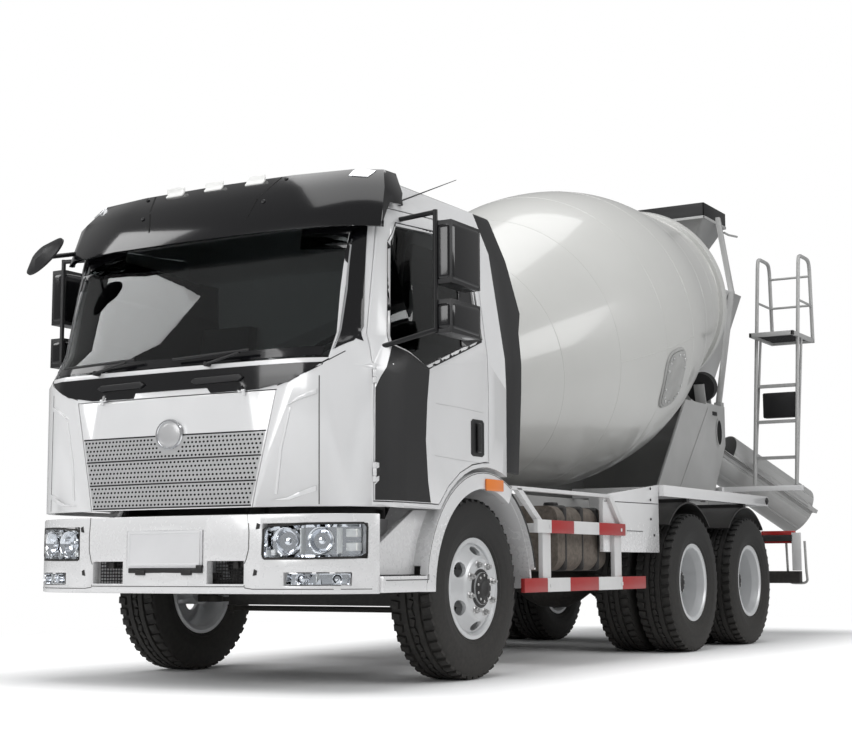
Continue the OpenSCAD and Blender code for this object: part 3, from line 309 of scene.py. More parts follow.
@contextmanager
def editing(piece, everything=True):
    """Edit mode on a piece, with all of it selected unless told otherwise."""
    solo(piece)
    bpy.ops.object.mode_set(mode="EDIT")
    if everything:
        bpy.ops.mesh.select_all(action="SELECT")
    yield
    bpy.ops.object.mode_set(mode="OBJECT")


def modified(piece, kind, **settings):
    """The piece with a modifier applied."""
    solo(piece)
    change = piece.modifiers.new("change", kind)
    for key, value in settings.items():
        setattr(change, key, value)
    bpy.ops.object.modifier_apply(modifier="change")
    return piece


def merged(pieces):
    """Joins pieces, each with its own mesh, into one."""
    solo(pieces[0])
    for piece in pieces:
        piece.select_set(True)
    bpy.ops.object.join()
    return bpy.context.object


def complete(piece, name, look, body, bevel=0.0, segments=2, angle=40):
    """Joins the pieces if there are several, bevels and smooths the whole, puts its place in its mesh,
    dresses it and fixes it to its body."""
    piece = merged(piece) if isinstance(piece, list) else solo(piece)
    bpy.ops.object.transform_apply()
    if bevel:
        modified(piece, "BEVEL", width=bevel, segments=segments, limit_method="ANGLE")
    bpy.ops.object.shade_smooth_by_angle(angle=math.radians(angle))
    piece.name = piece.data.name = name
    piece.data.materials.clear()
    piece.data.materials.append(look)
    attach(piece, body)
    return piece


def eased(node, look, width=0.005, angle=30, segments=2, smooth=32, flat=True):
    """A copy of a CAD node with its faces merged, its sharp edges rounded and its bends smoothed."""
    source = frame["nodes"][node]
    skin = added(node + "_skin", source.data.copy())
    with editing(skin):
        bpy.ops.mesh.remove_doubles(threshold=0.00005)
        if flat:
            bpy.ops.mesh.dissolve_limited(angle_limit=math.radians(0.6))
    if width:
        modified(skin, "BEVEL", width=width, segments=segments, limit_method="ANGLE",
                 angle_limit=math.radians(angle), use_clamp_overlap=True, harden_normals=False)
    with editing(skin):
        bpy.ops.mesh.quads_convert_to_tris(quad_method="BEAUTY", ngon_method="BEAUTY")
    complete(skin, node + "_skin", look, body_of(source)[0], angle=smooth)
    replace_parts(skin, node)
    return skin


for name in ("door_left", "door_right", "front_flap", "front_fenders"):
    eased(name, cab_white, 0.004)
eased("cab_shell", cab_white, 0, flat=False)
eased("bumper", cab_white, 0.006)
eased("side_panels", cab_white, 0.003)
eased("visor", black_gloss, 0.008, smooth=38)
for name in ("cab_fins", "mirror_left", "mirror_right", "front_mirror", "dashboard"):
    eased(name, black_plastic, 0.012 if "mirror" in name else 0.006, angle=35, segments=3, smooth=38)
for name in ("pedestals", "subframe", "chute_bracket"):
    eased(name, grey_paint, 0.003)
for name in ("hopper", "chute", "chute_extension"):
    eased(name, grey_paint, 0, flat=False)
for name in ("windscreen", "door_glass_left", "door_glass_right"):
    eased(name, window_tint, 0, flat=False)
for name in ("chassis_frame", "battery_box", "front_axle", "leaf_springs"):
    eased(name, chassis_black, 0.003)

# ---------------- tyres
# Radial truck tyres of black rubber, seated on the rims' beads: a sidewall with raised bands,
# and a belt of shoulder lugs either side of zigzag ribs, parted by deep grooves.

axles = ("front", "mid", "rear")
tyre_lo, tyre_hi = (Vector(corner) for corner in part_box("tyre_front_left"))
wheel_centre = (tyre_lo + tyre_hi) / 2
tyre_radius, tyre_half_width = (tyre_hi.z - tyre_lo.z) / 2, (tyre_hi.x - tyre_lo.x) / 2
front_x, twin_x = abs(wheel_centre.x), (0.743, 1.087)
wheelbase, tandem_gap = 3.5, 1.35
wheel_y = dict(zip(axles, (axle_y, axle_y + wheelbase, axle_y + wheelbase + tandem_gap)))


def turned(rings, sides=72, axis="X", closed=False):
    """A turned piece, extruded ring after ring from a circle. Rings are (radius, distance along the axis)."""
    bpy.ops.mesh.primitive_circle_add(vertices=sides, radius=rings[0][0], location=(0, 0, 0))
    piece = bpy.context.object
    with editing(piece):
        bpy.ops.transform.translate(value=(0, 0, rings[0][1]))
        if not closed:
            bpy.ops.mesh.edge_face_add()
        for (r0, z0), (r1, z1) in zip(rings, rings[1:]):
            bpy.ops.mesh.extrude_region_move(TRANSFORM_OT_translate={"value": (0, 0, z1 - z0)})
            bpy.ops.transform.resize(value=(r1 / r0, r1 / r0, 1), center_override=(0, 0, z1))
        bpy.ops.mesh.select_all(action="SELECT")
        if closed:
            bpy.ops.mesh.remove_doubles(threshold=1e-5)
        bpy.ops.mesh.normals_make_consistent(inside=False)
    if axis == "X":
        piece.rotation_euler = (0, math.radians(90), 0)
    bpy.ops.object.transform_apply()
    return piece


def copied(piece, transform):
    """A copy with its own mesh, moved."""
    copy = piece.copy()
    copy.data = piece.data.copy()
    copy.data.transform(transform)
    scene.collection.objects.link(copy)
    return copy


def repeated(piece, transforms):
    """The piece modelled once, and a copy for each transform, joined."""
    copies = [copied(piece, transform) for transform in transforms]
    bpy.data.objects.remove(piece)
    return merged(copies)


def block_of(size):
    """A block about the origin."""
    bpy.ops.mesh.primitive_cube_add(size=1, location=(0, 0, 0))
    bpy.context.object.scale = size
    bpy.ops.object.transform_apply(scale=True)
    return bpy.context.object


def ring_of(count, radius, start=0.0):
    """Places round the X axis."""
    return [Matrix.Rotation(start + 2 * math.pi * k / count, 4, "X") @ Matrix.Translation((0, 0, radius))
            for k in range(count)]


def tyre_shape():
    """One tyre about the X axis, its middle at the origin."""
    r, w = tyre_radius, tyre_half_width
    half = [(0.287, 0.104), (0.305, 0.128), (0.318, 0.138), (0.322, 0.141), (0.330, 0.141), (0.334, 0.144),
            (0.360, 0.150), (0.392, 0.1555), (0.400, 0.1575), (0.404, w), (0.430, w), (0.434, 0.1565),
            (0.462, 0.1535), (0.478, 0.1500), (r - 0.040, 0.1440), (r - 0.026, 0.1380), (r - 0.018, 0.1300),
            (r - 0.017, 0.100), (r - 0.017, 0.064), (r - 0.001, 0.061), (r - 0.001, 0.028), (r - 0.016, 0.025),
            (r - 0.016, 0.012)]
    carcass = turned(half + [(a, -b) for a, b in half[::-1]] + [half[0]], sides=96, closed=True)
    # a shoulder lug: a block narrowed outwards, its corners eased
    lug = block_of((0.064, 0.050, 0.030))
    with editing(lug):
        bpy.ops.mesh.select_all(action="DESELECT")
    for face in lug.data.polygons:
        face.select = face.normal.z > 0.9
    with editing(lug, False):
        bpy.ops.transform.resize(value=(0.86, 0.82, 1), center_override=(0, 0, 0.015))
        bpy.ops.mesh.inset(thickness=0.003)
        bpy.ops.transform.translate(value=(0, 0, 0.0012))
    lug_count, rib_count, moves = 46, 60, []
    for k in range(lug_count):
        for side in (-1, 1):
            turn = 2 * math.pi * (k + 0.25 * side) / lug_count
            moves.append(Matrix.Rotation(turn, 4, "X") @ Matrix.Translation((side * 0.105, 0, r - 0.018))
                         @ Matrix.Rotation(side * 0.11, 4, "Y") @ Matrix.Rotation(side * 0.16, 4, "Z"))
    lugs = repeated(lug, moves)
    # the middle rib's blocks
    block = modified(block_of((0.030, 0.048, 0.020)), "BEVEL", width=0.003, segments=1)
    blocks = repeated(block, [at @ Matrix.Rotation(0.3 if k % 2 else -0.3, 4, "Z")
                              for k, at in enumerate(ring_of(rib_count, r - 0.0115))])
    return merged([carcass, lugs, blocks])


tyre_model = tyre_shape()
for s, side in sides:
    for axle in axles:
        ending = "%s_%s_%s" % ("" if axle == "front" else "s", axle, side)  # twin wheels are named in the plural
        pair = []
        for number, x in enumerate((front_x,) if axle == "front" else twin_x):
            spin = Matrix.Rotation(random.Random(axle + side + str(number)).uniform(0, 1.0), 4, "X")
            pair.append(copied(tyre_model, Matrix.Translation((s * x, wheel_y[axle], wheel_centre.z)) @ spin))
        tread = complete(pair, "tyre%s_rubber" % ending, rubber, "wheel" + ending, angle=32)
        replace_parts(tread, "tyre" + ending)
bpy.data.objects.remove(tyre_model)

# ---------------- wheel discs
# Steel disc wheels painted silver. Eight studs with flanged nuts hold each to its hub; the front
# hub's black cap has a ring of small bright bolts.

bright_steel = finish("bright_steel", 0.62, 0.28, metallic=1.0, relief=(500.0, 0.05, 0.0004, 1.0))


def capped(piece):
    """The piece with its open ends closed."""
    with editing(piece):
        bpy.ops.mesh.fill_holes(sides=0)
        bpy.ops.mesh.normals_make_consistent(inside=False)
    return piece


def nut_shape():
    """A stud end with its flanged hexagon nut, pointing along X from the origin."""
    flange = turned([(0.024, 0.0), (0.024, 0.003), (0.019, 0.006)], sides=20)
    nut = turned([(0.0165, 0.004), (0.0185, 0.006), (0.0185, 0.021), (0.0155, 0.025)], sides=6)
    stud = turned([(0.0105, 0.020), (0.0105, 0.036), (0.008, 0.0385)], sides=12)
    return merged([capped(part) for part in (flange, nut, stud)])


stud_count, bolt_count = 8, 10
for s, side in sides:
    facing = Matrix.Rotation(0 if s > 0 else math.pi, 4, "Z")
    for axle in axles:
        front = axle == "front"
        body, ending = "wheel%s_%s_%s" % ("" if front else "s", axle, side), "_%s_%s" % (axle, side)
        hub = Matrix.Translation((0, wheel_y[axle], wheel_centre.z)) @ facing
        face_x, cap_x, pitch = (front_x + 0.177, front_x + 0.194, 0.146) if front else (0.928, 1.105, 0.168)
        face_at, cap_at = (hub @ Matrix.Translation((x, 0, 0)) for x in (face_x, cap_x))
        studs = repeated(nut_shape(), [face_at @ at for at in ring_of(stud_count, pitch, 0.28)])
        complete(studs, "wheel_nuts" + ending, bright_steel, body)
        # the hub cap: turned with a stepped face, ringed by its bolts
        cap = capped(turned([(0.094 if front else 0.093, -0.006), (0.094, 0.002), (0.088, 0.006), (0.066, 0.007),
                             (0.060, 0.012), (0.042, 0.014), (0.034, 0.011), (0.004, 0.011)], sides=48))
        cap.data.transform(cap_at)
        complete(cap, "hub_cap" + ending, black_plastic, body)
        bolt = capped(turned([(0.0085, 0.0), (0.0085, 0.006), (0.0055, 0.008)], sides=6))
        bolts = repeated(bolt, [cap_at @ Matrix.Translation((0.005, 0, 0)) @ at for at in ring_of(bolt_count, 0.077)])
        complete(bolts, "hub_bolts" + ending, bright_steel, body)
        # the front hub drum below the cap is black
        if front:
            sleeve = turned([(0.1135, -0.070), (0.1145, -0.014), (0.110, -0.0115), (0.090, -0.0112)], sides=48)
            modified(sleeve, "SOLIDIFY", thickness=0.0015, offset=1.0).data.transform(cap_at)
            complete(sleeve, "hub_sleeve_" + side, black_plastic, body)

# ---------------- bumper's seams, plate and slots
# A pressed steel bumper in three pieces, screwed together behind its seams, with a blank plate on
# a black bracket in the middle and an open air slot at either side of it.

seam_black = finish("seam_black", near_black, 0.6, dust=0.1, relief=(200.0, 0.1, 0.0005, 1.0))
plate_white = finish("plate_white", (0.72, 0.72, 0.73), 0.35, dust=0.08, relief=(300.0, 0.05, 0.0005, 1.0))


def surface_of(*names):
    """The CAD nodes' own surface, for laying pieces on."""
    points, faces = [], []
    for name in names:
        mesh, first = frame["nodes"][name].data, len(points)
        points += [v.co.copy() for v in mesh.vertices]
        faces += [[first + i for i in face.vertices] for face in mesh.polygons]
    return BVHTree.FromPolygons(points, faces)


# where a view looks, and where its ray for a point of an outline starts
ahead, beside, reach = 6.0, 4.0, 12.0
views = {"front": (Vector((0, 1, 0)), lambda u, v: Vector((u, -ahead, v))),
         "left": (Vector((-1, 0, 0)), lambda u, v: Vector((beside, u + axle_y, v))),
         "right": (Vector((1, 0, 0)), lambda u, v: Vector((-beside, u + axle_y, v)))}


def from_faces(name, verts, faces):
    """A new object of those faces."""
    mesh = bpy.data.meshes.new(name)
    mesh.from_pydata(verts, [], faces)
    mesh.update()
    return added(name, mesh)


def seen_at(surface, view, u, v):
    """Where a view sees the surface at a point of its picture, and the normal there."""
    into, start = views[view]
    return surface.ray_cast(start(u, v), into, reach)[:2]


def laid(surface, outline, view, step, lift, depth):
    """A thin panel laid on a surface: its outline, seen in a view, filled with a mesh of small faces,
    dropped onto the surface and thickened inwards."""
    into, start = views[view]
    rim = []
    for a, b in zip(outline, outline[1:] + outline[:1]):
        a, b = Vector(a), Vector(b)
        count = max(1, round((b - a).length / step))
        rim += [a.lerp(b, k / count) for k in range(count)]
    u0, u1 = min(p.x for p in rim), max(p.x for p in rim)
    v0, v1 = min(p.y for p in rim), max(p.y for p in rim)
    inner = [Vector((u0 + i * step, v0 + j * step)) for i in range(1, int((u1 - u0) / step) + 1)
             for j in range(1, int((v1 - v0) / step) + 1)]
    edges = [(k, (k + 1) % len(rim)) for k in range(len(rim))]
    points, _, faces = delaunay_2d_cdt(rim + inner, edges, [list(range(len(rim)))], 1, 1e-6)[:3]
    placed, last = [], beside
    for p in points:
        origin = start(p.x, p.y)
        hit, _, _, distance = surface.ray_cast(origin, into, reach)
        last = distance if hit is not None else last
        placed.append(origin + into * (last - lift))
    panel = from_faces("laid", placed, faces)
    if sum(face.normal.dot(into) * face.area for face in panel.data.polygons) > 0:
        with editing(panel):
            bpy.ops.mesh.flip_normals()
    return modified(panel, "SOLIDIFY", thickness=depth, offset=-1.0) if depth else panel


def panels(name, look, body, surface, view, outlines, step, lift, depth, bevel=0.0, segments=2):
    """Panels laid on a surface, as one piece."""
    return complete([laid(surface, outline, view, step, lift, depth) for outline in outlines], name, look, body,
                    bevel, segments)


def ribbon(path, width):
    """The outline of a line of some width along a path."""
    left, right = [], []
    for k, point in enumerate(path):
        before, after = Vector(path[max(k - 1, 0)]), Vector(path[min(k + 1, len(path) - 1)])
        along = (after - before).normalized()
        across = Vector((-along.y, along.x)) * width / 2
        left.append(tuple(Vector(point) + across))
        right.append(tuple(Vector(point) - across))
    return left + right[::-1]


def seams(name, body, surface, view, paths, width=0.005, look=seam_black, step=0.04, lift=0.0007):
    """The dark lines where panels meet."""
    return panels(name, look, body, surface, view, [ribbon(path, width) for path in paths], step, lift, 0.0025)


def faced(path, s):
    """A path seen from the front, on its own side or on the right one."""
    return [(s * u, v) for u, v in path]


def boxed(lo, hi, s=1):
    """A block between two corners, measured from the axle; with s = -1 it is on the other side."""
    x0, x1 = sorted((s * lo[0], s * hi[0]))
    a, b = place(x0, *lo[1:]), place(x1, *hi[1:])
    bpy.ops.object.select_all(action="DESELECT")
    bpy.ops.mesh.primitive_cube_add(size=1, location=(a + b) / 2)
    bpy.context.object.scale = b - a
    bpy.ops.object.transform_apply()
    return bpy.context.object


def net(size, at, look, name, counts, turn=0.0):
    """A flat net of wires."""
    bpy.ops.object.select_all(action="DESELECT")
    bpy.ops.mesh.primitive_grid_add(x_subdivisions=counts[0], y_subdivisions=counts[1], size=1)
    piece = bpy.context.object
    piece.scale, piece.rotation_euler, piece.location = (*size, 1), (turn, 0, 0), at
    bpy.ops.object.transform_apply()
    complete(modified(piece, "WIREFRAME", thickness=0.007), name, look, "truck")


bumper_skin = surface_of("bumper")
curve = [(0.565, 0.956), (0.573, 0.86), (0.572, 0.77), (0.556, 0.712), (0.545, 0.690)]
lip = [(0.545, 0.575), (0.548, 0.560), (0.60, 0.553), (0.95, 0.553), (1.19, 0.553)]
seams("bumper_seams", "truck", bumper_skin, "front", [curve, faced(curve, -1)])
seams("bumper_lip_line", "truck", bumper_skin, "front", [lip, faced(lip, -1), [(-0.545, 0.566), (0.545, 0.566)]],
      0.004)
for s, side in sides:
    marks = [faced([(u - 0.012, v - 0.016), (u + 0.012, v - 0.012), (u + 0.016, v + 0.012),
                    (u - 0.004, v + 0.02)], s) for u, v in ((0.628, 0.889), (0.612, 0.640))]
    panels("bumper_screws_" + side, seam_black, "truck", bumper_skin, "front", marks, 0.01, 0.002, 0.005)
    # the slots' black mesh, set back
    net((0.252, 0.13), place(s * 0.42, -1.385, 0.6425), black_plastic, "slot_net_" + side, (12, 7), math.radians(90))
# the blank plate: a pressed sheet with a raised rim, on a bracket
plate = block_of((0.512, 0.006, 0.190))
plate.data.transform(Matrix.Translation(place(0, -1.484, 0.774)))
with editing(plate):
    bpy.ops.mesh.select_mode(type="FACE")
for face in plate.data.polygons:
    face.select = face.normal.y < -0.9
with editing(plate, False):
    bpy.ops.mesh.inset(thickness=0.010)
    bpy.ops.mesh.inset(thickness=0.003)
    bpy.ops.transform.translate(value=(0, 0.003, 0))
    bpy.ops.mesh.select_mode(type="VERT")
complete(plate, "number_plate", plate_white, "truck", 0.0015)
complete(boxed((-0.268, -1.482, 0.668), (0.268, -1.472, 0.876)), "plate_backing", plate_white, "truck", 0.004)
complete([boxed((-0.255, -1.486, 0.640), (0.262, -1.470, 0.668)),
          boxed((-0.20, -1.492, 0.628), (-0.13, -1.474, 0.655)),
          boxed((0.13, -1.492, 0.628), (0.20, -1.474, 0.655)),
          boxed((0.235, -1.494, 0.640), (0.275, -1.474, 0.684))], "plate_bracket", black_plastic, "truck", 0.004)

# ---------------- front lamps
# A chromed tray behind a clear moulded lens in the bumper's corner, with two round reflectors, an
# indicator and, in a tray of its own below, two fog lamps. Each tray screws on from behind.

chrome = finish("chrome", (0.86, 0.87, 0.89), 0.07, metallic=1.0, dust=0.0, blotches=0.0,
                relief=(30.0, 0.15, 0.002, 1.0))
clear_lens = clear("clear_lens", (0.96, 0.98, 1.0), 0.03, 1.12)
bulb_white = finish("bulb_white", (0.92, 0.92, 0.9), 0.2, dust=0.0, relief=(300.0, 0.02, 0.0003, 1.0))
amber = finish("amber_lens", (0.85, 0.22, 0.02), 0.15, coat=0.8, dust=0.1, relief=(120.0, 0.3, 0.0015, 1.0))
lamp_skin, seal_skin = surface_of("lamps"), surface_of("bumper", "lamps")
tail_y = 6.5003


def lamp_tray(outline, deep):
    """A chromed tray open to the front, its rim on the lamp's face."""
    tray = laid(lamp_skin, outline, "front", 0.03, -0.004, 0)
    fronts = {tuple(round(c, 5) for c in face.center) for face in tray.data.polygons}
    centre = sum((v.co for v in tray.data.vertices), Vector()) / len(tray.data.vertices)
    with editing(tray):
        bpy.ops.mesh.extrude_region_move(TRANSFORM_OT_translate={"value": (0, deep, 0)})
        bpy.ops.transform.resize(value=(0.93, 1, 0.86), center_override=centre + Vector((0, deep, 0)))
    shell = bmesh.new()
    shell.from_mesh(tray.data)
    bmesh.ops.delete(shell, context="FACES", geom=[face for face in shell.faces if tuple(
        round(c, 5) for c in face.calc_center_median()) in fronts])
    shell.to_mesh(tray.data)
    shell.free()
    return modified(tray, "SOLIDIFY", thickness=0.002, offset=0.0)


def reflector(x, y, z, radius, turn):
    """A deep bowl with a bulb's cap standing in it."""
    bowl = turned([(radius * share, z_) for share, z_ in
                   ((0.16, 0.050), (0.35, 0.040), (0.62, 0.018), (0.84, -0.010), (1, -0.034), (1.05, -0.036),
                    (1.07, -0.030))], sides=40, axis="Z", closed=True)
    modified(bowl, "SOLIDIFY", thickness=0.0015, offset=0.0)
    cap = turned([(0.008, 0.045), (0.016, 0.035), (0.019, 0.0), (0.016, -0.012), (0.004, -0.016)], sides=24, axis="Z")
    both = merged([bowl, cap])
    both.data.transform(Matrix.Translation(place(x, y, z)) @ Matrix.Rotation(turn, 4, "Z")
                        @ Matrix.Rotation(math.radians(-90), 4, "X"))
    return both


for s, side in sides:
    head = faced([(0.664, 0.735), (0.672, 0.722), (0.90, 0.722), (1.150, 0.728), (1.163, 0.745), (1.166, 0.885),
                  (1.155, 0.899), (0.90, 0.896), (0.69, 0.886), (0.668, 0.868)], s)
    fog = faced([(0.792, 0.578), (1.098, 0.578), (1.104, 0.636), (0.800, 0.636)], s)
    tray = complete([lamp_tray(head, 0.055), lamp_tray(fog, 0.030)], "lamp_trays_" + side, chrome, "truck")
    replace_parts(tray, "lamps")
    bowls = [reflector(s * x, y, z, radius, s * turn) for x, y, z, radius, turn in
             ((0.775, -1.376, 0.808, 0.072, 0.12), (0.958, -1.322, 0.812, 0.068, 0.35),
              (0.865, -1.370, 0.607, 0.026, 0.3), (1.035, -1.290, 0.607, 0.026, 0.6))]
    complete(bowls, "lamp_reflectors_" + side, chrome, "truck")
    steps = [boxed((a, y - 0.02, z), (b, y + 0.03, z + h), s) for a, b, y, z, h in
             ((0.858, 0.866, -1.368, 0.74, 0.14), (1.038, 1.046, -1.285, 0.74, 0.14),
              (1.06, 1.13, -1.225, 0.755, 0.045), (1.06, 1.13, -1.225, 0.83, 0.045),
              (0.69, 0.72, -1.40, 0.735, 0.03), (0.945, 0.953, -1.345, 0.580, 0.054))]
    complete(steps, "lamp_steps_" + side, bulb_white, "truck", 0.004)
    panels("lamp_lens_" + side, clear_lens, "truck", lamp_skin, "front", [head, fog], 0.03, 0.0015, 0.003)
    rim = faced([(0.658, 0.735), (0.668, 0.716), (0.90, 0.716), (1.152, 0.721), (1.169, 0.745), (1.171, 0.885),
                 (1.158, 0.905), (0.90, 0.902), (0.69, 0.893), (0.662, 0.872), (0.658, 0.735)], s)
    panels("lamp_seal_" + side, seam_black, "truck", seal_skin, "front",
           [ribbon(path, 0.010) for path in (rim[:6], rim[5:])], 0.03, 0.003, 0.008)
    complete(boxed((1.2353, 0.010, 1.124), (1.250, 0.230, 1.196), s), "side_lamp_" + side, amber, "truck", 0.006, 3)
    tail_red = finish("tail_red_" + side, (0.45, 0.01, 0.01), 0.15, coat=0.8, dust=0.2,
                      relief=(120.0, 0.3, 0.0015, 1.0))
    complete(boxed((0.78, tail_y, 0.880), (1.11, 6.560, 1.000), s), "tail_lamp_" + side, tail_red, "truck", 0.008, 3)

# ---------------- front panel
# The front flap's lower part is a silver perforated grille in three strips, parted by dark lines;
# the cab's corners beside it have a moulded lip above and below and a crease between them.

flap_skin, cab_skin = surface_of("front_flap"), surface_of("cab_shell")
front_skin = surface_of("front_flap", "cab_shell")
# near-black matt: painted shade in the grille's holes and in the pedestal's hand hole, and the dark joints between the
# visor's sections
hole_black = finish("hole_black", 0.004, 0.9, dust=0.0, relief=(200.0, 0.1, 0.0005, 1.0))
grille_silver = finish("grille_silver", (0.50, 0.50, 0.505), 0.3, metallic=0.25, coat=0.3, dust=0.1,
                       relief=(300.0, 0.05, 0.0005, 1.0))
badge_z, grille_rows, hole_gap, hole_lift = 1.416, 5, 0.0265, 0.0022


def flap_side(z):
    """How far the grille reaches from the middle at a height."""
    return 0.574 + (z - 0.988) / (1.63 - 0.988) * (0.715 - 0.574) - 0.012


strips, holes = [], []
for top, bottom in ((1.404, 1.284), (1.272, 1.147), (1.135, 1.012)):
    strips.append([(-flap_side(bottom), bottom), (flap_side(bottom), bottom), (flap_side(top), top),
                   (-flap_side(top), top)])
    for row in range(grille_rows):
        z = top - 0.013 - row * (top - bottom - 0.024) / (grille_rows - 1)
        half = flap_side(z) - 0.014
        count = int(2 * half / hole_gap)
        for k in range(count + 1):
            x = -half + (k + 0.5 * (row % 2)) * (2 * half / count)
            if abs(x) <= half + 0.001 and (x / 0.118) ** 2 + ((z - badge_z) / 0.108) ** 2 >= 1:
                holes.append((x, z))
panels("grille_strips", grille_silver, "front_flap", flap_skin, "front", strips, 0.04, 0.0025, 0.004)
# each hole is a shallow dent in near-black: painted shade for the dark space behind the perforation
bpy.ops.object.select_all(action="DESELECT")
bpy.ops.mesh.primitive_circle_add(vertices=8, radius=1, fill_type="NGON", rotation=(math.radians(90), 0, 0))
hole = bpy.context.object
hole.scale = (0.0084, 0.0068, 1)
bpy.ops.object.transform_apply()
with editing(hole):
    bpy.ops.mesh.extrude_region_move(TRANSFORM_OT_translate={"value": (0, -0.0010, 0)})
    bpy.ops.transform.resize(value=(0.9, 1, 0.9))
    bpy.ops.mesh.select_all(action="SELECT")
    bpy.ops.mesh.normals_make_consistent(inside=False)
hole_moves = []
for x, z in holes:
    hole_moves.append(Matrix.Translation(seen_at(flap_skin, "front", x, z)[0] - Vector((0, hole_lift, 0))))
complete(repeated(hole, hole_moves), "grille_holes", hole_black, "front_flap")
seams("grille_lines", "front_flap", flap_skin, "front",
      [[(-flap_side(z) - 0.004, z), (0, z), (flap_side(z) + 0.004, z)] for z in (1.411, 1.278, 1.141, 1.006)], 0.009)
# the blank badge: a domed disc in a chromed ring
for label, look, rings in (
        ("badge_ring", chrome, [(0.090, 0.0), (0.094, 0.005), (0.090, 0.012), (0.080, 0.013), (0.076, 0.008),
                                (0.076, 0.002)]),
        ("badge_disc", grille_silver, [(0.079, 0.002), (0.074, 0.005), (0.050, 0.009), (0.022, 0.011),
                                       (0.004, 0.0115)])):
    part = capped(turned(rings, sides=64, axis="Z"))
    part.data.transform(Matrix.Translation(place(0, -1.449, badge_z)) @ Matrix.Diagonal((1.04, 1, 0.94, 1))
                        @ Matrix.Rotation(math.radians(90), 4, "X"))
    complete(part, label, look, "front_flap")
# corner panels: their seams, a raised lip above and below, and a crease
for s, side in sides:
    seams("corner_seam_" + side, "cab", front_skin, "front",
          [faced([(0.968, 1.005), (0.967, 1.35), (0.966, 1.700)], s)])
    seams("cowl_seam_" + side, "cab", front_skin, "front",
          [faced([(0.725, 1.655), (0.86, 1.700), (0.98, 1.762), (1.06, 1.84)], s)], 0.006)
    upper = faced([(0.80, 1.545), (0.86, 1.585), (0.958, 1.628), (0.958, 1.602), (0.87, 1.572)], s)
    lower = faced([(0.70, 1.030), (0.80, 1.040), (0.958, 1.105), (0.958, 1.075), (0.82, 1.030)], s)
    lips = [laid(front_skin, upper, "front", 0.02, 0.010, 0.012), laid(front_skin, lower, "front", 0.02, 0.009, 0.011)]
    complete(lips, "corner_lips_" + side, cab_white, "cab", 0.004)
    crease = faced([(0.72, 1.06), (0.745, 1.30), (0.80, 1.530), (0.816, 1.530), (0.762, 1.30), (0.737, 1.06)], s)
    panels("corner_crease_" + side, cab_white, "cab", front_skin, "front", [crease], 0.03, 0.004, 0.005, 0.0015)

# ---------------- cowl, pillars and windscreen surround
# Black plastic cowl with the wiper spindles' covers, gloss black A-pillars, and a black
# band printed round the edge of the laminated windscreen.

cowl = [(-1.005, 1.795), (-0.93, 1.735), (-0.80, 1.672), (-0.60, 1.640), (0, 1.633), (0.60, 1.640), (0.80, 1.672),
        (0.93, 1.735), (1.005, 1.795), (0.99, 1.835), (0.80, 1.822), (0, 1.815), (-0.80, 1.822), (-0.99, 1.835)]
panels("cowl_panel", black_gloss, "cab", cab_skin, "front", [cowl], 0.035, 0.006, 0.008)
covers = [[(x, 1.690), (x + 0.30, 1.694), (x + 0.33, 1.712), (x + 0.30, 1.732), (x, 1.726), (x - 0.03, 1.706)]
          for x in (-0.52, 0.18)]
panels("cowl_covers", black_plastic, "cab", cab_skin, "front", covers, 0.03, 0.022, 0.018, 0.006, 3)
panels("windscreen_band", black_gloss, "cab", surface_of("windscreen", "cab_shell"), "front",
       [ribbon([(-0.96, 1.842), (0, 1.832), (0.96, 1.842)], 0.05)], 0.04, 0.002, 0.003)
flank = [(-1.20, 1.93), (-1.15, 1.905), (-1.035, 2.60), (-1.09, 2.62)]
for s, side in sides:
    pillar = faced([(0.985, 1.835), (1.075, 1.905), (1.095, 1.99), (1.060, 2.60), (0.945, 2.62), (0.955, 2.30)], s)
    panels("pillar_front_" + side, black_gloss, "cab", cab_skin, "front", [pillar], 0.03, 0.005, 0.007, 0.002)
    panels("pillar_side_" + side, black_gloss, "cab", cab_skin, side, [flank], 0.03, 0.004, 0.006, 0.002)
    seams("pillar_trim_" + side, "cab", cab_skin, "front", [faced([(1.01, 1.85), (1.012, 2.2), (0.99, 2.60)], s)],
          0.008, chrome, 0.04, 0.0075)

# ---------------- doors
# Pressed steel doors on two hinges, with a black lower front corner, a recessed handle and a
# dark frame to the window; the glass is tinted.

black_front = [(-1.150, 1.03), (-0.650, 1.03), (-0.680, 1.15), (-0.705, 1.38), (-0.690, 1.60), (-0.660, 1.795),
               (-0.99, 1.895), (-1.120, 1.700), (-1.150, 1.640)]
crease_shade_lines = [[(-0.59, 1.600), (-0.30, 1.600), (-0.02, 1.592)], [(-0.60, 1.300), (-0.3, 1.290), (0.03, 1.285)]]
window = [(-0.935, 2.49), (-0.995, 1.905), (-0.690, 1.797), (-0.010, 2.040), (-0.052, 2.668), (-0.86, 2.606),
          (-0.935, 2.49)]
post = [(-0.245, 1.965), (-0.005, 2.045), (-0.05, 2.668), (-0.17, 2.66)]
recess = [(-0.172, 1.335), (-0.150, 1.323), (-0.034, 1.323), (-0.010, 1.338), (-0.010, 1.530), (-0.032, 1.545),
          (-0.150, 1.545), (-0.172, 1.530)]
grip = [(-0.112, 1.345), (-0.070, 1.345), (-0.066, 1.523), (-0.116, 1.523)]
for s, side in sides:
    body = "door_" + side
    skin, glazed = surface_of(body), surface_of(body, "door_glass_" + side)
    panels("door_black_" + side, black_plastic, body, skin, side, [black_front], 0.035, 0.003, 0.004, 0.001, 1)
    # the door creases are grey lines, darker than the door's white, laid on the skin: painted crease shade
    seams("door_creases_" + side, body, skin, side, crease_shade_lines, 0.003, grille_silver, 0.04, 0.0004)
    seams("window_frame_" + side, body, glazed, side, [window[:4], window[3:]], 0.030, black_gloss, 0.04, 0.004)
    panels("window_post_" + side, black_gloss, body, glazed, side, [post], 0.04, 0.006, 0.008, 0.002)
    panels("handle_recess_" + side, black_plastic, body, skin, side, [recess], 0.03, 0.003, 0.005, 0.0015)
    panels("handle_" + side, black_gloss, body, skin, side, [grip], 0.02, 0.016, 0.010, 0.004, 3)

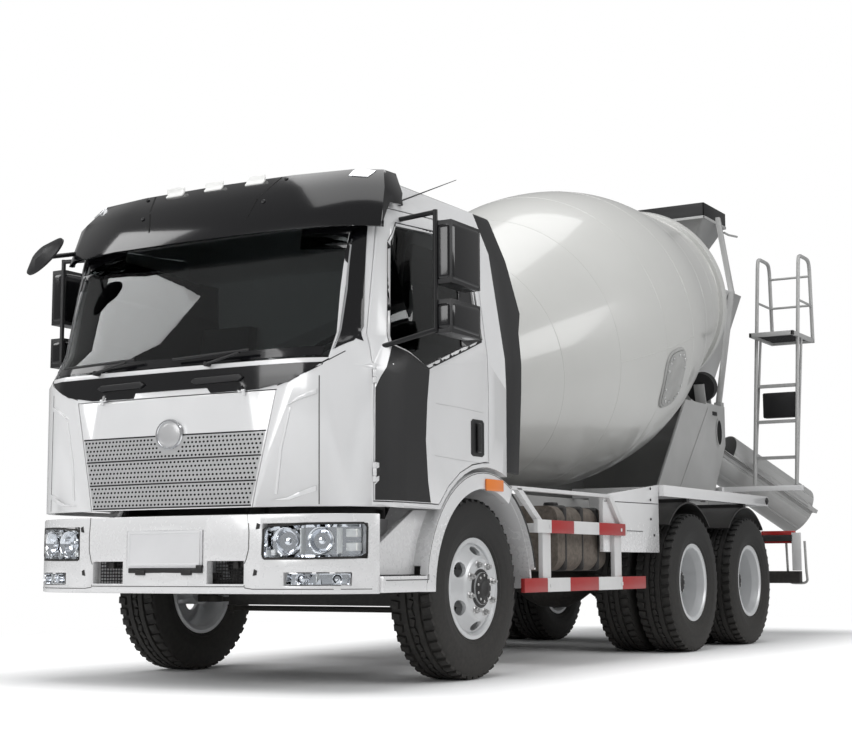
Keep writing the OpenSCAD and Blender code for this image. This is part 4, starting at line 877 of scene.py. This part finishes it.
# ---------------- visor
# A gloss black moulding in three sections screwed to the roof's edge, with a thick lower lip,
# three clear marker lamps in its middle section and a chromed lamp at each corner.

visor_skin = surface_of("visor")
visor_seam = [(0.36, 2.66), (0.40, 2.78), (0.475, 2.93)]
seams("visor_seams", "cab", visor_skin, "front", [visor_seam, faced(visor_seam, -1)], 0.010, hole_black, 0.03, 0.001)
markers = [[(x - 0.065, 2.905), (x + 0.065, 2.905), (x + 0.065, 2.958), (x - 0.065, 2.958)] for x in (-0.30, 0.0, 0.30)]
panels("marker_lamps", bulb_white, "cab", visor_skin, "front", markers, 0.02, 0.012, 0.016, 0.006, 3)


def stuck(piece, at, normal):
    """The piece stood on a surface along its normal."""
    piece.data.transform(Matrix.Translation(at) @ normal.to_track_quat("Z", "Y").to_matrix().to_4x4())
    return piece


screws = []
for x, z in ((0.45, 2.76), (-0.45, 2.76), (0.52, 2.91), (-0.52, 2.91)):
    hit, normal = seen_at(visor_skin, "front", x, z)
    if hit is not None:
        head = turned([(0.013, 0.0), (0.013, 0.004), (0.009, 0.007), (0.003, 0.0075)], sides=16, axis="Z")
        screws.append(stuck(head, hit, normal))
complete(screws, "visor_screws", black_plastic, "cab")
for s, side in sides:
    panels("corner_lamp_" + side, chrome, "cab", visor_skin, "front",
           [faced([(0.93, 2.885), (1.03, 2.875), (1.045, 2.925), (0.94, 2.94)], s)], 0.02, 0.010, 0.014, 0.005, 3)

# ---------------- aerial
# A thin steel whip that leans back over the roof, on a small rubber foot screwed to the roof's
# left edge.

bpy.ops.mesh.primitive_cone_add(vertices=8, radius1=0.005, radius2=0.002, depth=0.722,
                                location=place(1.1, -0.415, 2.905), rotation=(-1.188, 0, 0))
complete(bpy.context.object, "aerial_whip", chassis_black, "cab")
bpy.ops.mesh.primitive_cone_add(vertices=24, radius1=0.022, radius2=0.011, depth=0.06,
                                location=place(1.1, -0.755, 2.775))
complete(bpy.context.object, "aerial_foot", rubber, "cab", 0.003)

# ---------------- mirrors
# Two rounded black housings on a bent tube at each door, a wide-angle glass under a main one,
# silvered on the face towards the driver.

mirror_glass = finish("mirror_glass", (0.9, 0.9, 0.92), 0.02, metallic=1.0, dust=0.0, blotches=0.0,
                      relief=(50.0, 0.0, 0.0, 0.0))
for s, side in sides:
    housings, glasses = [], []
    for z0, z1 in ((2.236, 2.604), (1.956, 2.154)):
        housing = boxed((1.388, -0.862, z0), (1.506, -0.512, z1), s)
        for vert in housing.data.vertices:
            if vert.co.y < axle_y - 0.7:
                vert.co.z += 0.012 if vert.co.z < (z0 + z1) / 2 else -0.012
        housings.append(modified(housing, "BEVEL", width=0.038, segments=6))
        glasses.append(boxed((1.410, -0.514, z0 + 0.035), (1.490, -0.509, z1 - 0.035), s))
    complete(housings, "mirror_housings_" + side, black_gloss, "door_" + side, angle=50)
    complete(glasses, "mirror_glasses_" + side, mirror_glass, "door_" + side, 0.002)

# ---------------- side guards and tank
# Square tubes on posts bolted to the frame, painted in red and white lengths; a strapped steel
# tank behind them, under a coat of dried mud.

guard_relief = (260.0, 0.08, 0.0006, 2.0)
guard_white = finish("guard_white", 0.70, 0.35, coat=0.2, dust=0.2, relief=guard_relief)
guard_red = finish("guard_red", (0.38, 0.012, 0.014), 0.35, coat=0.2, relief=guard_relief)
tank_mud = finish("tank_mud", (0.060, 0.046, 0.040), 0.55, metallic=0.2, dust=0.9, blotches=0.6, blotch_scale=5.0,
                  dust_height=3.0, relief=(60.0, 0.4, 0.003, 6.0))
bar_in, bar_out = 1.195, 1.225
upper_bar = ((0.885, 0.970), [0.74, 0.945, 1.29, 1.70, 2.16])
lower_bar = ((0.505, 0.595), [0.55, 0.88, 1.22, 1.68, 2.09, 2.52])
for s, side in sides:
    paints = white, red = [], []
    for first, ((z0, z1), ends) in enumerate((upper_bar, lower_bar)):
        for k, (y0, y1) in enumerate(zip(ends, ends[1:])):
            paints[(k + first) % 2].append(boxed((bar_in, y0, z0), (bar_out, y1, z1), s))
    for y in (0.925, 2.080):
        white.append(boxed((bar_in - 0.030, y - 0.060, 0.510), (bar_in + 0.002, y + 0.060, 0.965), s))
        for z in (0.545, 0.925):
            white.append(boxed((bar_out, y - 0.012, z - 0.012), (bar_out + 0.004, y + 0.012, z + 0.012), s))
    complete(white, "guard_white_" + side, guard_white, "truck", 0.004)
    complete(red, "guard_red_" + side, guard_red, "truck", 0.004)
    # sloping brackets from the body down to the upper bar, and arms from the frame rail to the posts
    braces = []
    for y0, y1 in ((0.50, 0.90), (1.93, 2.20)):
        brace = boxed((1.160, y0, 0.900), (1.196, y0 + 0.075, 1.165), s)
        for vert in brace.data.vertices:
            if vert.co.z < 1.0:
                vert.co.y += y1 - y0
        braces.append(brace)
    braces.append(boxed((1.150, 0.440, 1.150), (1.196, 1.950, 1.175), s))
    braces += [boxed((0.430, y0, 0.890), (1.166, y0 + 0.050, 0.950), s) for y0 in (0.90, 2.09)]
    complete(braces, "guard_braces_" + side, guard_white, "truck", 0.003)
under_run = [boxed((-1.150, 6.500, 0.500), (1.150, 6.590, 0.615))]
under_run += [boxed((0.380, tail_y, 0.560), (0.420, 6.580, 1.000), s) for s, _ in sides]
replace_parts(complete(under_run, "under_run_bar", chassis_black, "truck", 0.005), "guards")

tank_lo, tank_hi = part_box("fuel_tank")
tank_middle, tank_size = (tank_lo + tank_hi) / 2, tank_hi - tank_lo
eased("fuel_tank", tank_mud, 0.012)
strap_gap, strap_width = 0.004, 0.055
straps = []
for y in (1.42, 1.69, 1.95):
    # a square tube whose corner lines are eased below: four sides of a cylinder, closed at its ends
    bpy.ops.mesh.primitive_cylinder_add(vertices=4, radius=math.sqrt(0.5), depth=1)
    strap = bpy.context.object
    strap.data.transform(Matrix.Translation((tank_middle.x, y + axle_y, tank_middle.z))
                         @ Matrix.Diagonal((tank_size.x + 2 * strap_gap, strap_width, tank_size.z + 2 * strap_gap, 1))
                         @ Matrix.Rotation(math.radians(45), 4, "Y") @ Matrix.Rotation(math.radians(90), 4, "X"))
    straps.append(strap)
complete(straps, "tank_straps", chassis_black, "truck", 0.080, 4)
cap = turned([(0.050, 0.0), (0.052, 0.018), (0.046, 0.030), (0.020, 0.032), (0.004, 0.032)], sides=32, axis="Z")
cap.data.transform(Matrix.Translation(place(0.95, 1.50, 1.078)))
complete(cap, "tank_cap", black_plastic, "truck")

# ---------------- fenders and steps
# White fenders of moulded plastic with a ribbed black tread set in the step, a dark line along
# the arch's edge, and a black flap behind the wheel.

fender_skin = surface_of("front_fenders")


def arch(radius, degrees):
    """Points of an arc over the front wheel, seen from the side."""
    return [(0.020 + radius * math.cos(math.radians(a)), 0.530 + radius * math.sin(math.radians(a))) for a in degrees]


for s, side in sides:
    tread = [laid(fender_skin, [(-1.115, 0.600), (-0.665, 0.600), (-0.665, 0.628), (-1.115, 0.628)], side,
                  0.03, 0.003, 0.004)]
    ribs = [boxed((1.130, -1.12 + 0.03 * k, 0.6195), (1.228, -1.108 + 0.03 * k, 0.6245), s) for k in range(15)]
    complete(tread + ribs, "step_tread_" + side, black_plastic, "truck")
    seams("fender_edge_" + side, "truck", fender_skin, side, [arch(0.700, range(62, 178, 6))], 0.004, step=0.05)
    panels("flap_edge_" + side, black_plastic, "truck", fender_skin, side,
           [ribbon(arch(0.6915, range(11, 60, 6)), 0.014)], 0.03, 0.003, 0.004)

# ---------------- body side panels
# White steel covers bolted beside the chassis, parted by a fold line, with the deck beam behind
# them; its ends have black bump stops.

panel_skin = surface_of("side_panels")
folds = [[(1.92, 1.128), (2.40, 1.133), (2.925, 1.138)], [(2.10, 0.925), (2.40, 0.925), (2.62, 0.925)]]
bolt_shape = ([(0.011, 0.0), (0.011, 0.004), (0.007, 0.007), (0.004, 0.0075)], 12)
stop_shape = ([(0.034, 0.0), (0.034, 0.010), (0.026, 0.016), (0.004, 0.016)], 4)
for s, side in sides:
    seams("panel_fold_" + side, "truck", panel_skin, side, folds, 0.006)
    bolts = []
    for y, z, shape in ((2.78, 1.25, bolt_shape), (2.78, 1.165, bolt_shape), (2.78, 1.02, bolt_shape),
                        (2.84, 0.90, bolt_shape), (2.95, 1.243, stop_shape), (5.40, 1.243, stop_shape)):
        hit = seen_at(panel_skin, side, y, z)[0]
        if hit is not None:
            bolts.append(turned(*shape))
            bolts[-1].data.transform(Matrix.Translation(hit) @ Matrix.Rotation(0 if s > 0 else math.pi, 4, "Z"))
    complete(bolts, "panel_bolts_" + side, black_plastic, "truck", 0.002, 1)

# ---------------- drum
# A welded steel drum, sprayed light grey: weld seams round its courses and along them, and an oval
# hatch held by screws. It turns on its ring and gearbox.

drum_joint = [j for j in frame["joints"] if j["child"] == "drum"][0]
drum_at = Vector(drum_joint["pos_m"])
drum_dir = Vector(drum_joint["axis"]).normalized()
if drum_dir.y < 0:
    drum_dir = -drum_dir
drum_up = (Vector((0, 0, 1)) - drum_dir * drum_dir.z).normalized()
drum_side = drum_up.cross(drum_dir).normalized()
drum_place = Matrix.Translation(drum_at) @ Matrix((drum_side, drum_up, drum_dir)).transposed().to_4x4()
outer_r, inner_r, cone_end, mid_end, ring_at, mouth_at = 1.211, 1.179, 1.714, 2.593, 4.250, 4.730


def bend(before, here, after, size, steps):
    """A corner drawn as a curve that starts and ends at most size away from it."""
    start, end = here + (before - here).normalized() * size, here + (after - here).normalized() * size
    return [start * (1 - t) ** 2 + here * 2 * t * (1 - t) + end * t * t for t in (k / steps for k in range(steps + 1))]


# outside, then back along the inside: each corner's place, and how far its bend reaches
outside = [((0.345, -0.072), 0), ((0.750, 0.0), 0.06), ((outer_r, cone_end), 0.42), ((outer_r, mid_end), 0.42),
           ((0.822, ring_at - 0.052), 0.02), ((0.866, ring_at - 0.050), 0.004), ((0.866, ring_at + 0.050), 0.004),
           ((0.806, ring_at + 0.052), 0.010), ((0.534, mouth_at), 0)]
profile = [outside[0][0]]
for (before, _), (here, size), (after, _) in zip(outside, outside[1:], outside[2:]):
    profile += [tuple(point) for point in bend(Vector(before), Vector(here), Vector(after), size,
                                               10 if size > 0.05 else 3)]
profile += [outside[-1][0], (0.518, mouth_at), (0.806, ring_at), (inner_r, mid_end), (inner_r, cone_end),
            (0.737, 0.014), (0.345, -0.055)]
shell = turned(profile + [profile[0]], sides=144, axis="Z", closed=True)
cap = turned([(0.346, -0.070), (0.300, -0.078), (0.200, -0.084), (0.200, -0.110), (0.090, -0.112), (0.090, -0.250),
              (0.060, -0.255)], sides=64, axis="Z")
for part in (shell, cap):
    part.data.transform(drum_place)
drum_shell = complete([shell, cap], "drum_shell", drum_grey, "drum", angle=28)
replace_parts(drum_shell, "drum")
drum_skin = BVHTree.FromPolygons([v.co.copy() for v in drum_shell.data.vertices],
                                 [tuple(f.vertices) for f in drum_shell.data.polygons])


def drum_point(along, angle):
    """A point of the drum's skin, given its place along the axis and the angle round it, with its normal."""
    out = drum_up * math.cos(angle) + drum_side * math.sin(angle)
    return drum_skin.ray_cast(drum_at + drum_dir * along + out * 3.0, -out, 3.2)[:2]


def weld_bead(points, width=0.012, height=0.0018, closed=False):
    """A low half-round bead along points lying on a skin, each (place, normal)."""
    points = [point for point in points if point[0] is not None]
    verts, faces, n = [], [], len(points)
    for k, (at, normal) in enumerate(points):
        after = points[(k + 1) % n if closed else min(k + 1, n - 1)][0]
        before = points[(k - 1) % n if closed else max(k - 1, 0)][0]
        across = (after - before).normalized().cross(normal).normalized() * width / 2
        verts += [at + across * out + normal * up for out, up in
                  ((-1, -0.003), (-0.6, height * 0.7), (0, height), (0.6, height * 0.7), (1, -0.003))]
    for k in range(n if closed else n - 1):
        a, b = 5 * k, 5 * ((k + 1) % n)
        faces += [(a + i, b + i, b + (i + 1) % 5, a + (i + 1) % 5) for i in range(5)]
    if not closed:
        faces += [(4, 3, 2, 1, 0), tuple(5 * (n - 1) + i for i in range(5))]
    bead = from_faces("bead", verts, faces)
    with editing(bead):
        bpy.ops.mesh.normals_make_consistent(inside=False)
    return bead


beads = [weld_bead([drum_point(along, 2 * math.pi * (k + 0.31) / 120) for k in range(120)], closed=True)
         for along in (0.55, 1.20, 1.85, 2.45, 3.10, 3.75)]
beads += [weld_bead([drum_point(1.20 + 1.25 * k / 24, turn) for k in range(25)]) for turn in (0.4, 2.5, 4.6)]
complete(beads, "drum_welds", drum_grey, "drum", angle=60)

hatch_along, hatch_turn = 2.03, math.radians(-109.3)
if drum_point(hatch_along, hatch_turn)[0].x < 0:
    hatch_turn = -hatch_turn


def hatch_ring(half_length, half_arc, lift, count=40):
    """Points of an oval round the hatch's middle, lifted off the drum's skin, with their normals."""
    ring = []
    for k in range(count):
        a = 2 * math.pi * (k + 0.37) / count
        u, w = (math.copysign(abs(c) ** 0.6, c) for c in (math.cos(a), math.sin(a)))
        at, normal = drum_point(hatch_along + u * half_length, hatch_turn + w * half_arc)
        if at is not None:
            ring.append((at + normal * lift, normal))
    return ring


hatch_edge = weld_bead(hatch_ring(0.20, 0.19, 0.006), 0.030, 0.008, True)
rings = [hatch_ring(0.19 * f, 0.18 * f, 0.012) for f in (1.0, 0.75, 0.5, 0.25)]
n, last = len(rings[0]), len(rings) - 1
faces = [(level * n + k, level * n + (k + 1) % n, (level + 1) * n + (k + 1) % n, (level + 1) * n + k)
         for level in range(last) for k in range(n)]
lid = from_faces("hatch", [at for ring in rings for at, _ in ring], faces + [tuple(last * n + k for k in range(n))])
modified(lid, "SOLIDIFY", thickness=0.010, offset=0.0)
hatch_grey = finish("hatch_grey", (0.40, 0.40, 0.39), 0.45, dust=0.3, blotches=0.25, blotch_scale=6.0,
                    relief=(80.0, 0.3, 0.002, 4.0))
complete([hatch_edge, lid], "drum_hatch", hatch_grey, "drum", angle=50)
studs = [stuck(turned([(0.013, -0.004), (0.013, 0.006), (0.009, 0.010), (0.003, 0.010)], sides=8, axis="Z"), *spot)
         for spot in hatch_ring(0.165, 0.155, 0.016, 14)]
complete(studs, "hatch_studs", bright_steel, "drum")

# ---------------- charging hopper
# A black rubber collar clamped round the mouth of the grey steel hopper, with a folded lip and a
# lever for washing out; it stands on tubes from the rear pedestal.


def four_bars(lo, hi, across, along):
    """A rectangle of bars inside two corners: two bars across the truck and two along it."""
    (x0, y0, z0), (x1, y1, z1) = lo, hi
    return [boxed((x0, y0, z0), (x1, y0 + across, z1)), boxed((x0, y1 - across, z0), (x1, y1, z1)),
            boxed((x0, y0, z0), (x0 + along, y1, z1)), boxed((x1 - along, y0, z0), (x1, y1, z1))]


def tube(points, radius, roundness=3, round_by=None):
    """A bent tube along points, its bends rounded."""
    curve = bpy.data.curves.new("tube", "CURVE")
    curve.dimensions = "3D"
    curve.bevel_depth, curve.bevel_resolution, curve.use_fill_caps = radius, roundness, True
    points = [place(*point) for point in points]
    path = points[:1]
    for before, here, after in zip(points, points[1:], points[2:]):
        if round_by:
            a, b = (here + (end - here).normalized() * min(round_by, (end - here).length * 0.45)
                    for end in (before, after))
            path += [a * (1 - t) ** 2 + here * 2 * t * (1 - t) + b * t * t for t in (k / 6 for k in range(7))]
        else:
            path.append(here)
    path.append(points[-1])
    line = curve.splines.new("POLY")
    line.points.add(len(path) - 1)
    for knot, at in zip(line.points, path):
        knot.co = (*at, 1)
    added("tube", curve)
    bpy.ops.object.convert(target="MESH")
    return bpy.context.object


complete(four_bars((-0.456, 6.034, 4.075), (0.456, 6.656, 4.212), 0.016, 0.016), "hopper_collar", black_plastic,
         "truck", 0.005)
complete(four_bars((-0.460, 6.030, 4.052), (0.460, 6.660, 4.080), 0.014, 0.014), "hopper_clamp", grey_paint,
         "truck", 0.004)
complete(tube([(0.440, 6.650, 4.02), (0.440, 6.78, 4.02), (0.46, 6.98, 4.035)], 0.011, 4), "wash_lever", grey_paint,
         "truck")

# ---------------- ladder and platform
# Welded from bent grey tube: two stiles from the tail to a platform of black mesh, rounded
# handrails above it, and flat rungs.

stile_x, rail_radius, stay_radius, hand_radius = (0.70, 1.12), 0.019, 0.013, 0.012
rails = []
for x in stile_x:
    rails += [tube([(x, 6.600, 1.443), (x, 6.892, 3.72), (x, 6.93, 3.765), (x, 7.22, 3.765), (x, 7.262, 3.70),
                    (x, 7.300, 2.935)], rail_radius, round_by=0.09),
              tube([(x, 6.622, 1.4425), (x, 6.915, 2.940)], stay_radius),
              tube([(x, 6.84, 3.30), (x, 7.283, 3.30)], hand_radius)]
for z in (3.30, 3.60):
    rails.append(tube([(x, 7.285 - (z - 2.95) * 0.045, z) for x in stile_x], hand_radius))
for z in (1.72, 2.08, 2.44):
    y = 6.600 + (z - 1.450) * 0.300 / 2.300
    rails.append(boxed((stile_x[0], y - 0.010, z - 0.016), (stile_x[1], y + 0.070, z + 0.012)))
ladder = complete(rails, "ladder_tubes", grey_paint, "truck", angle=45)
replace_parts(ladder, "ladder")
complete(four_bars((0.685, 6.600, 2.918), (1.135, 7.312, 2.962), 0.030, 0.027), "platform_frame", grey_paint,
         "truck", 0.003)
net((0.42, 0.68), place(0.91, 6.955, 2.945), chassis_black, "platform_mesh", (14, 22))
complete(boxed((0.76, 6.73, 2.12), (1.10, 6.83, 2.37)), "tool_box", black_plastic, "truck", 0.015, 3)

# ---------------- pedestal details
# The rear pedestal's steel plates have an oval hand hole with a pressed rim and a welded fold,
# and stand on small bolted pads.

oval = [(5.73 + 0.075 * math.cos(math.radians(a)), 1.91 + 0.125 * math.sin(math.radians(a)))
        for a in range(0, 360, 15)]
pedestal_skin = surface_of("pedestals")
for s, side in sides:
    # the hand hole is a near-black sheet laid on the plate: painted shade for the hollow behind it
    panels("pedestal_hole_" + side, hole_black, "truck", pedestal_skin, side, [oval], 0.03, 0.002, 0.003)
    seams("pedestal_rim_" + side, "truck", pedestal_skin, side, [oval[:13], oval[12:] + oval[:1]], 0.016,
          grey_paint, 0.03, 0.006)
    seams("pedestal_fold_" + side, "truck", pedestal_skin, side, [[(4.60, 1.25), (5.45, 2.12)]], 0.012,
          grey_paint, 0.05, 0.005)
    pads = [boxed((0.655, y - 0.055, z - 0.018), (0.668, y + 0.055, z + 0.018), s)
            for y, z in ((5.25, 1.262), (5.25, 1.315), (5.62, 2.08))]
    complete(pads, "pedestal_pads_" + side, chassis_black, "truck", 0.004)

# ---------------- tail fittings
# At each corner of the tail a step bent from grey tube and a white painted steel plate, both
# welded to the end of the frame.

for s, side in sides:
    step = tube([(s * x, y, z) for x, y, z in
                 ((1.02, 6.53, 0.88), (1.02, 6.56, 0.56), (1.02, 6.60, 0.50), (1.20, 6.60, 0.50),
                  (1.20, 6.56, 0.60), (1.20, 6.53, 0.90))], 0.012, round_by=0.06)
    complete(step, "tail_step_" + side, grey_paint, "truck", angle=45)
    complete(boxed((1.10, 6.44, 0.62), (1.19, 6.455, 0.98), s), "tail_plate_" + side, guard_white, "truck", 0.004)

# ---------------- seats and wheel
# Sprung seats in grey cloth over foam, their bolsters stitched, and a padded steering wheel
# on its column.

seat_cloth = finish("seat_cloth", (0.10, 0.10, 0.11), 0.9, dust=0.05, blotches=0.1, relief=(900.0, 0.5, 0.001, 2.0),
                    sheen=0.4)
seat = eased("seats", seat_cloth, 0.045, angle=25, segments=4, smooth=50)
bpy.ops.object.select_all(action="DESELECT")
bpy.ops.mesh.primitive_torus_add(major_radius=0.225, minor_radius=0.016, major_segments=64, minor_segments=12)
wheel_parts = [bpy.context.object, turned([(0.060, -0.020), (0.075, -0.004), (0.070, 0.014), (0.040, 0.022),
                                           (0.004, 0.024)], sides=32, axis="Z")]
for turn in (0.0, 2.1, 4.2):
    bpy.ops.mesh.primitive_cylinder_add(vertices=10, radius=0.011, depth=0.17)
    bpy.context.object.data.transform(Matrix.Rotation(turn, 4, "Z") @ Matrix.Translation((0.14, 0, 0))
                                      @ Matrix.Rotation(math.radians(90), 4, "Y"))
    wheel_parts.append(bpy.context.object)
wheel = merged(wheel_parts)
wheel.data.transform(Matrix.Translation(place(0.70, -0.74, 1.93)) @ Matrix.Rotation(math.radians(38), 4, "X"))
complete(wheel, "steering_wheel", black_plastic, "cab", angle=50)
complete(tube([(0.70, -0.75, 1.91), (0.70, -0.93, 1.72)], 0.030, 4), "steering_column", black_plastic, "cab", angle=50)
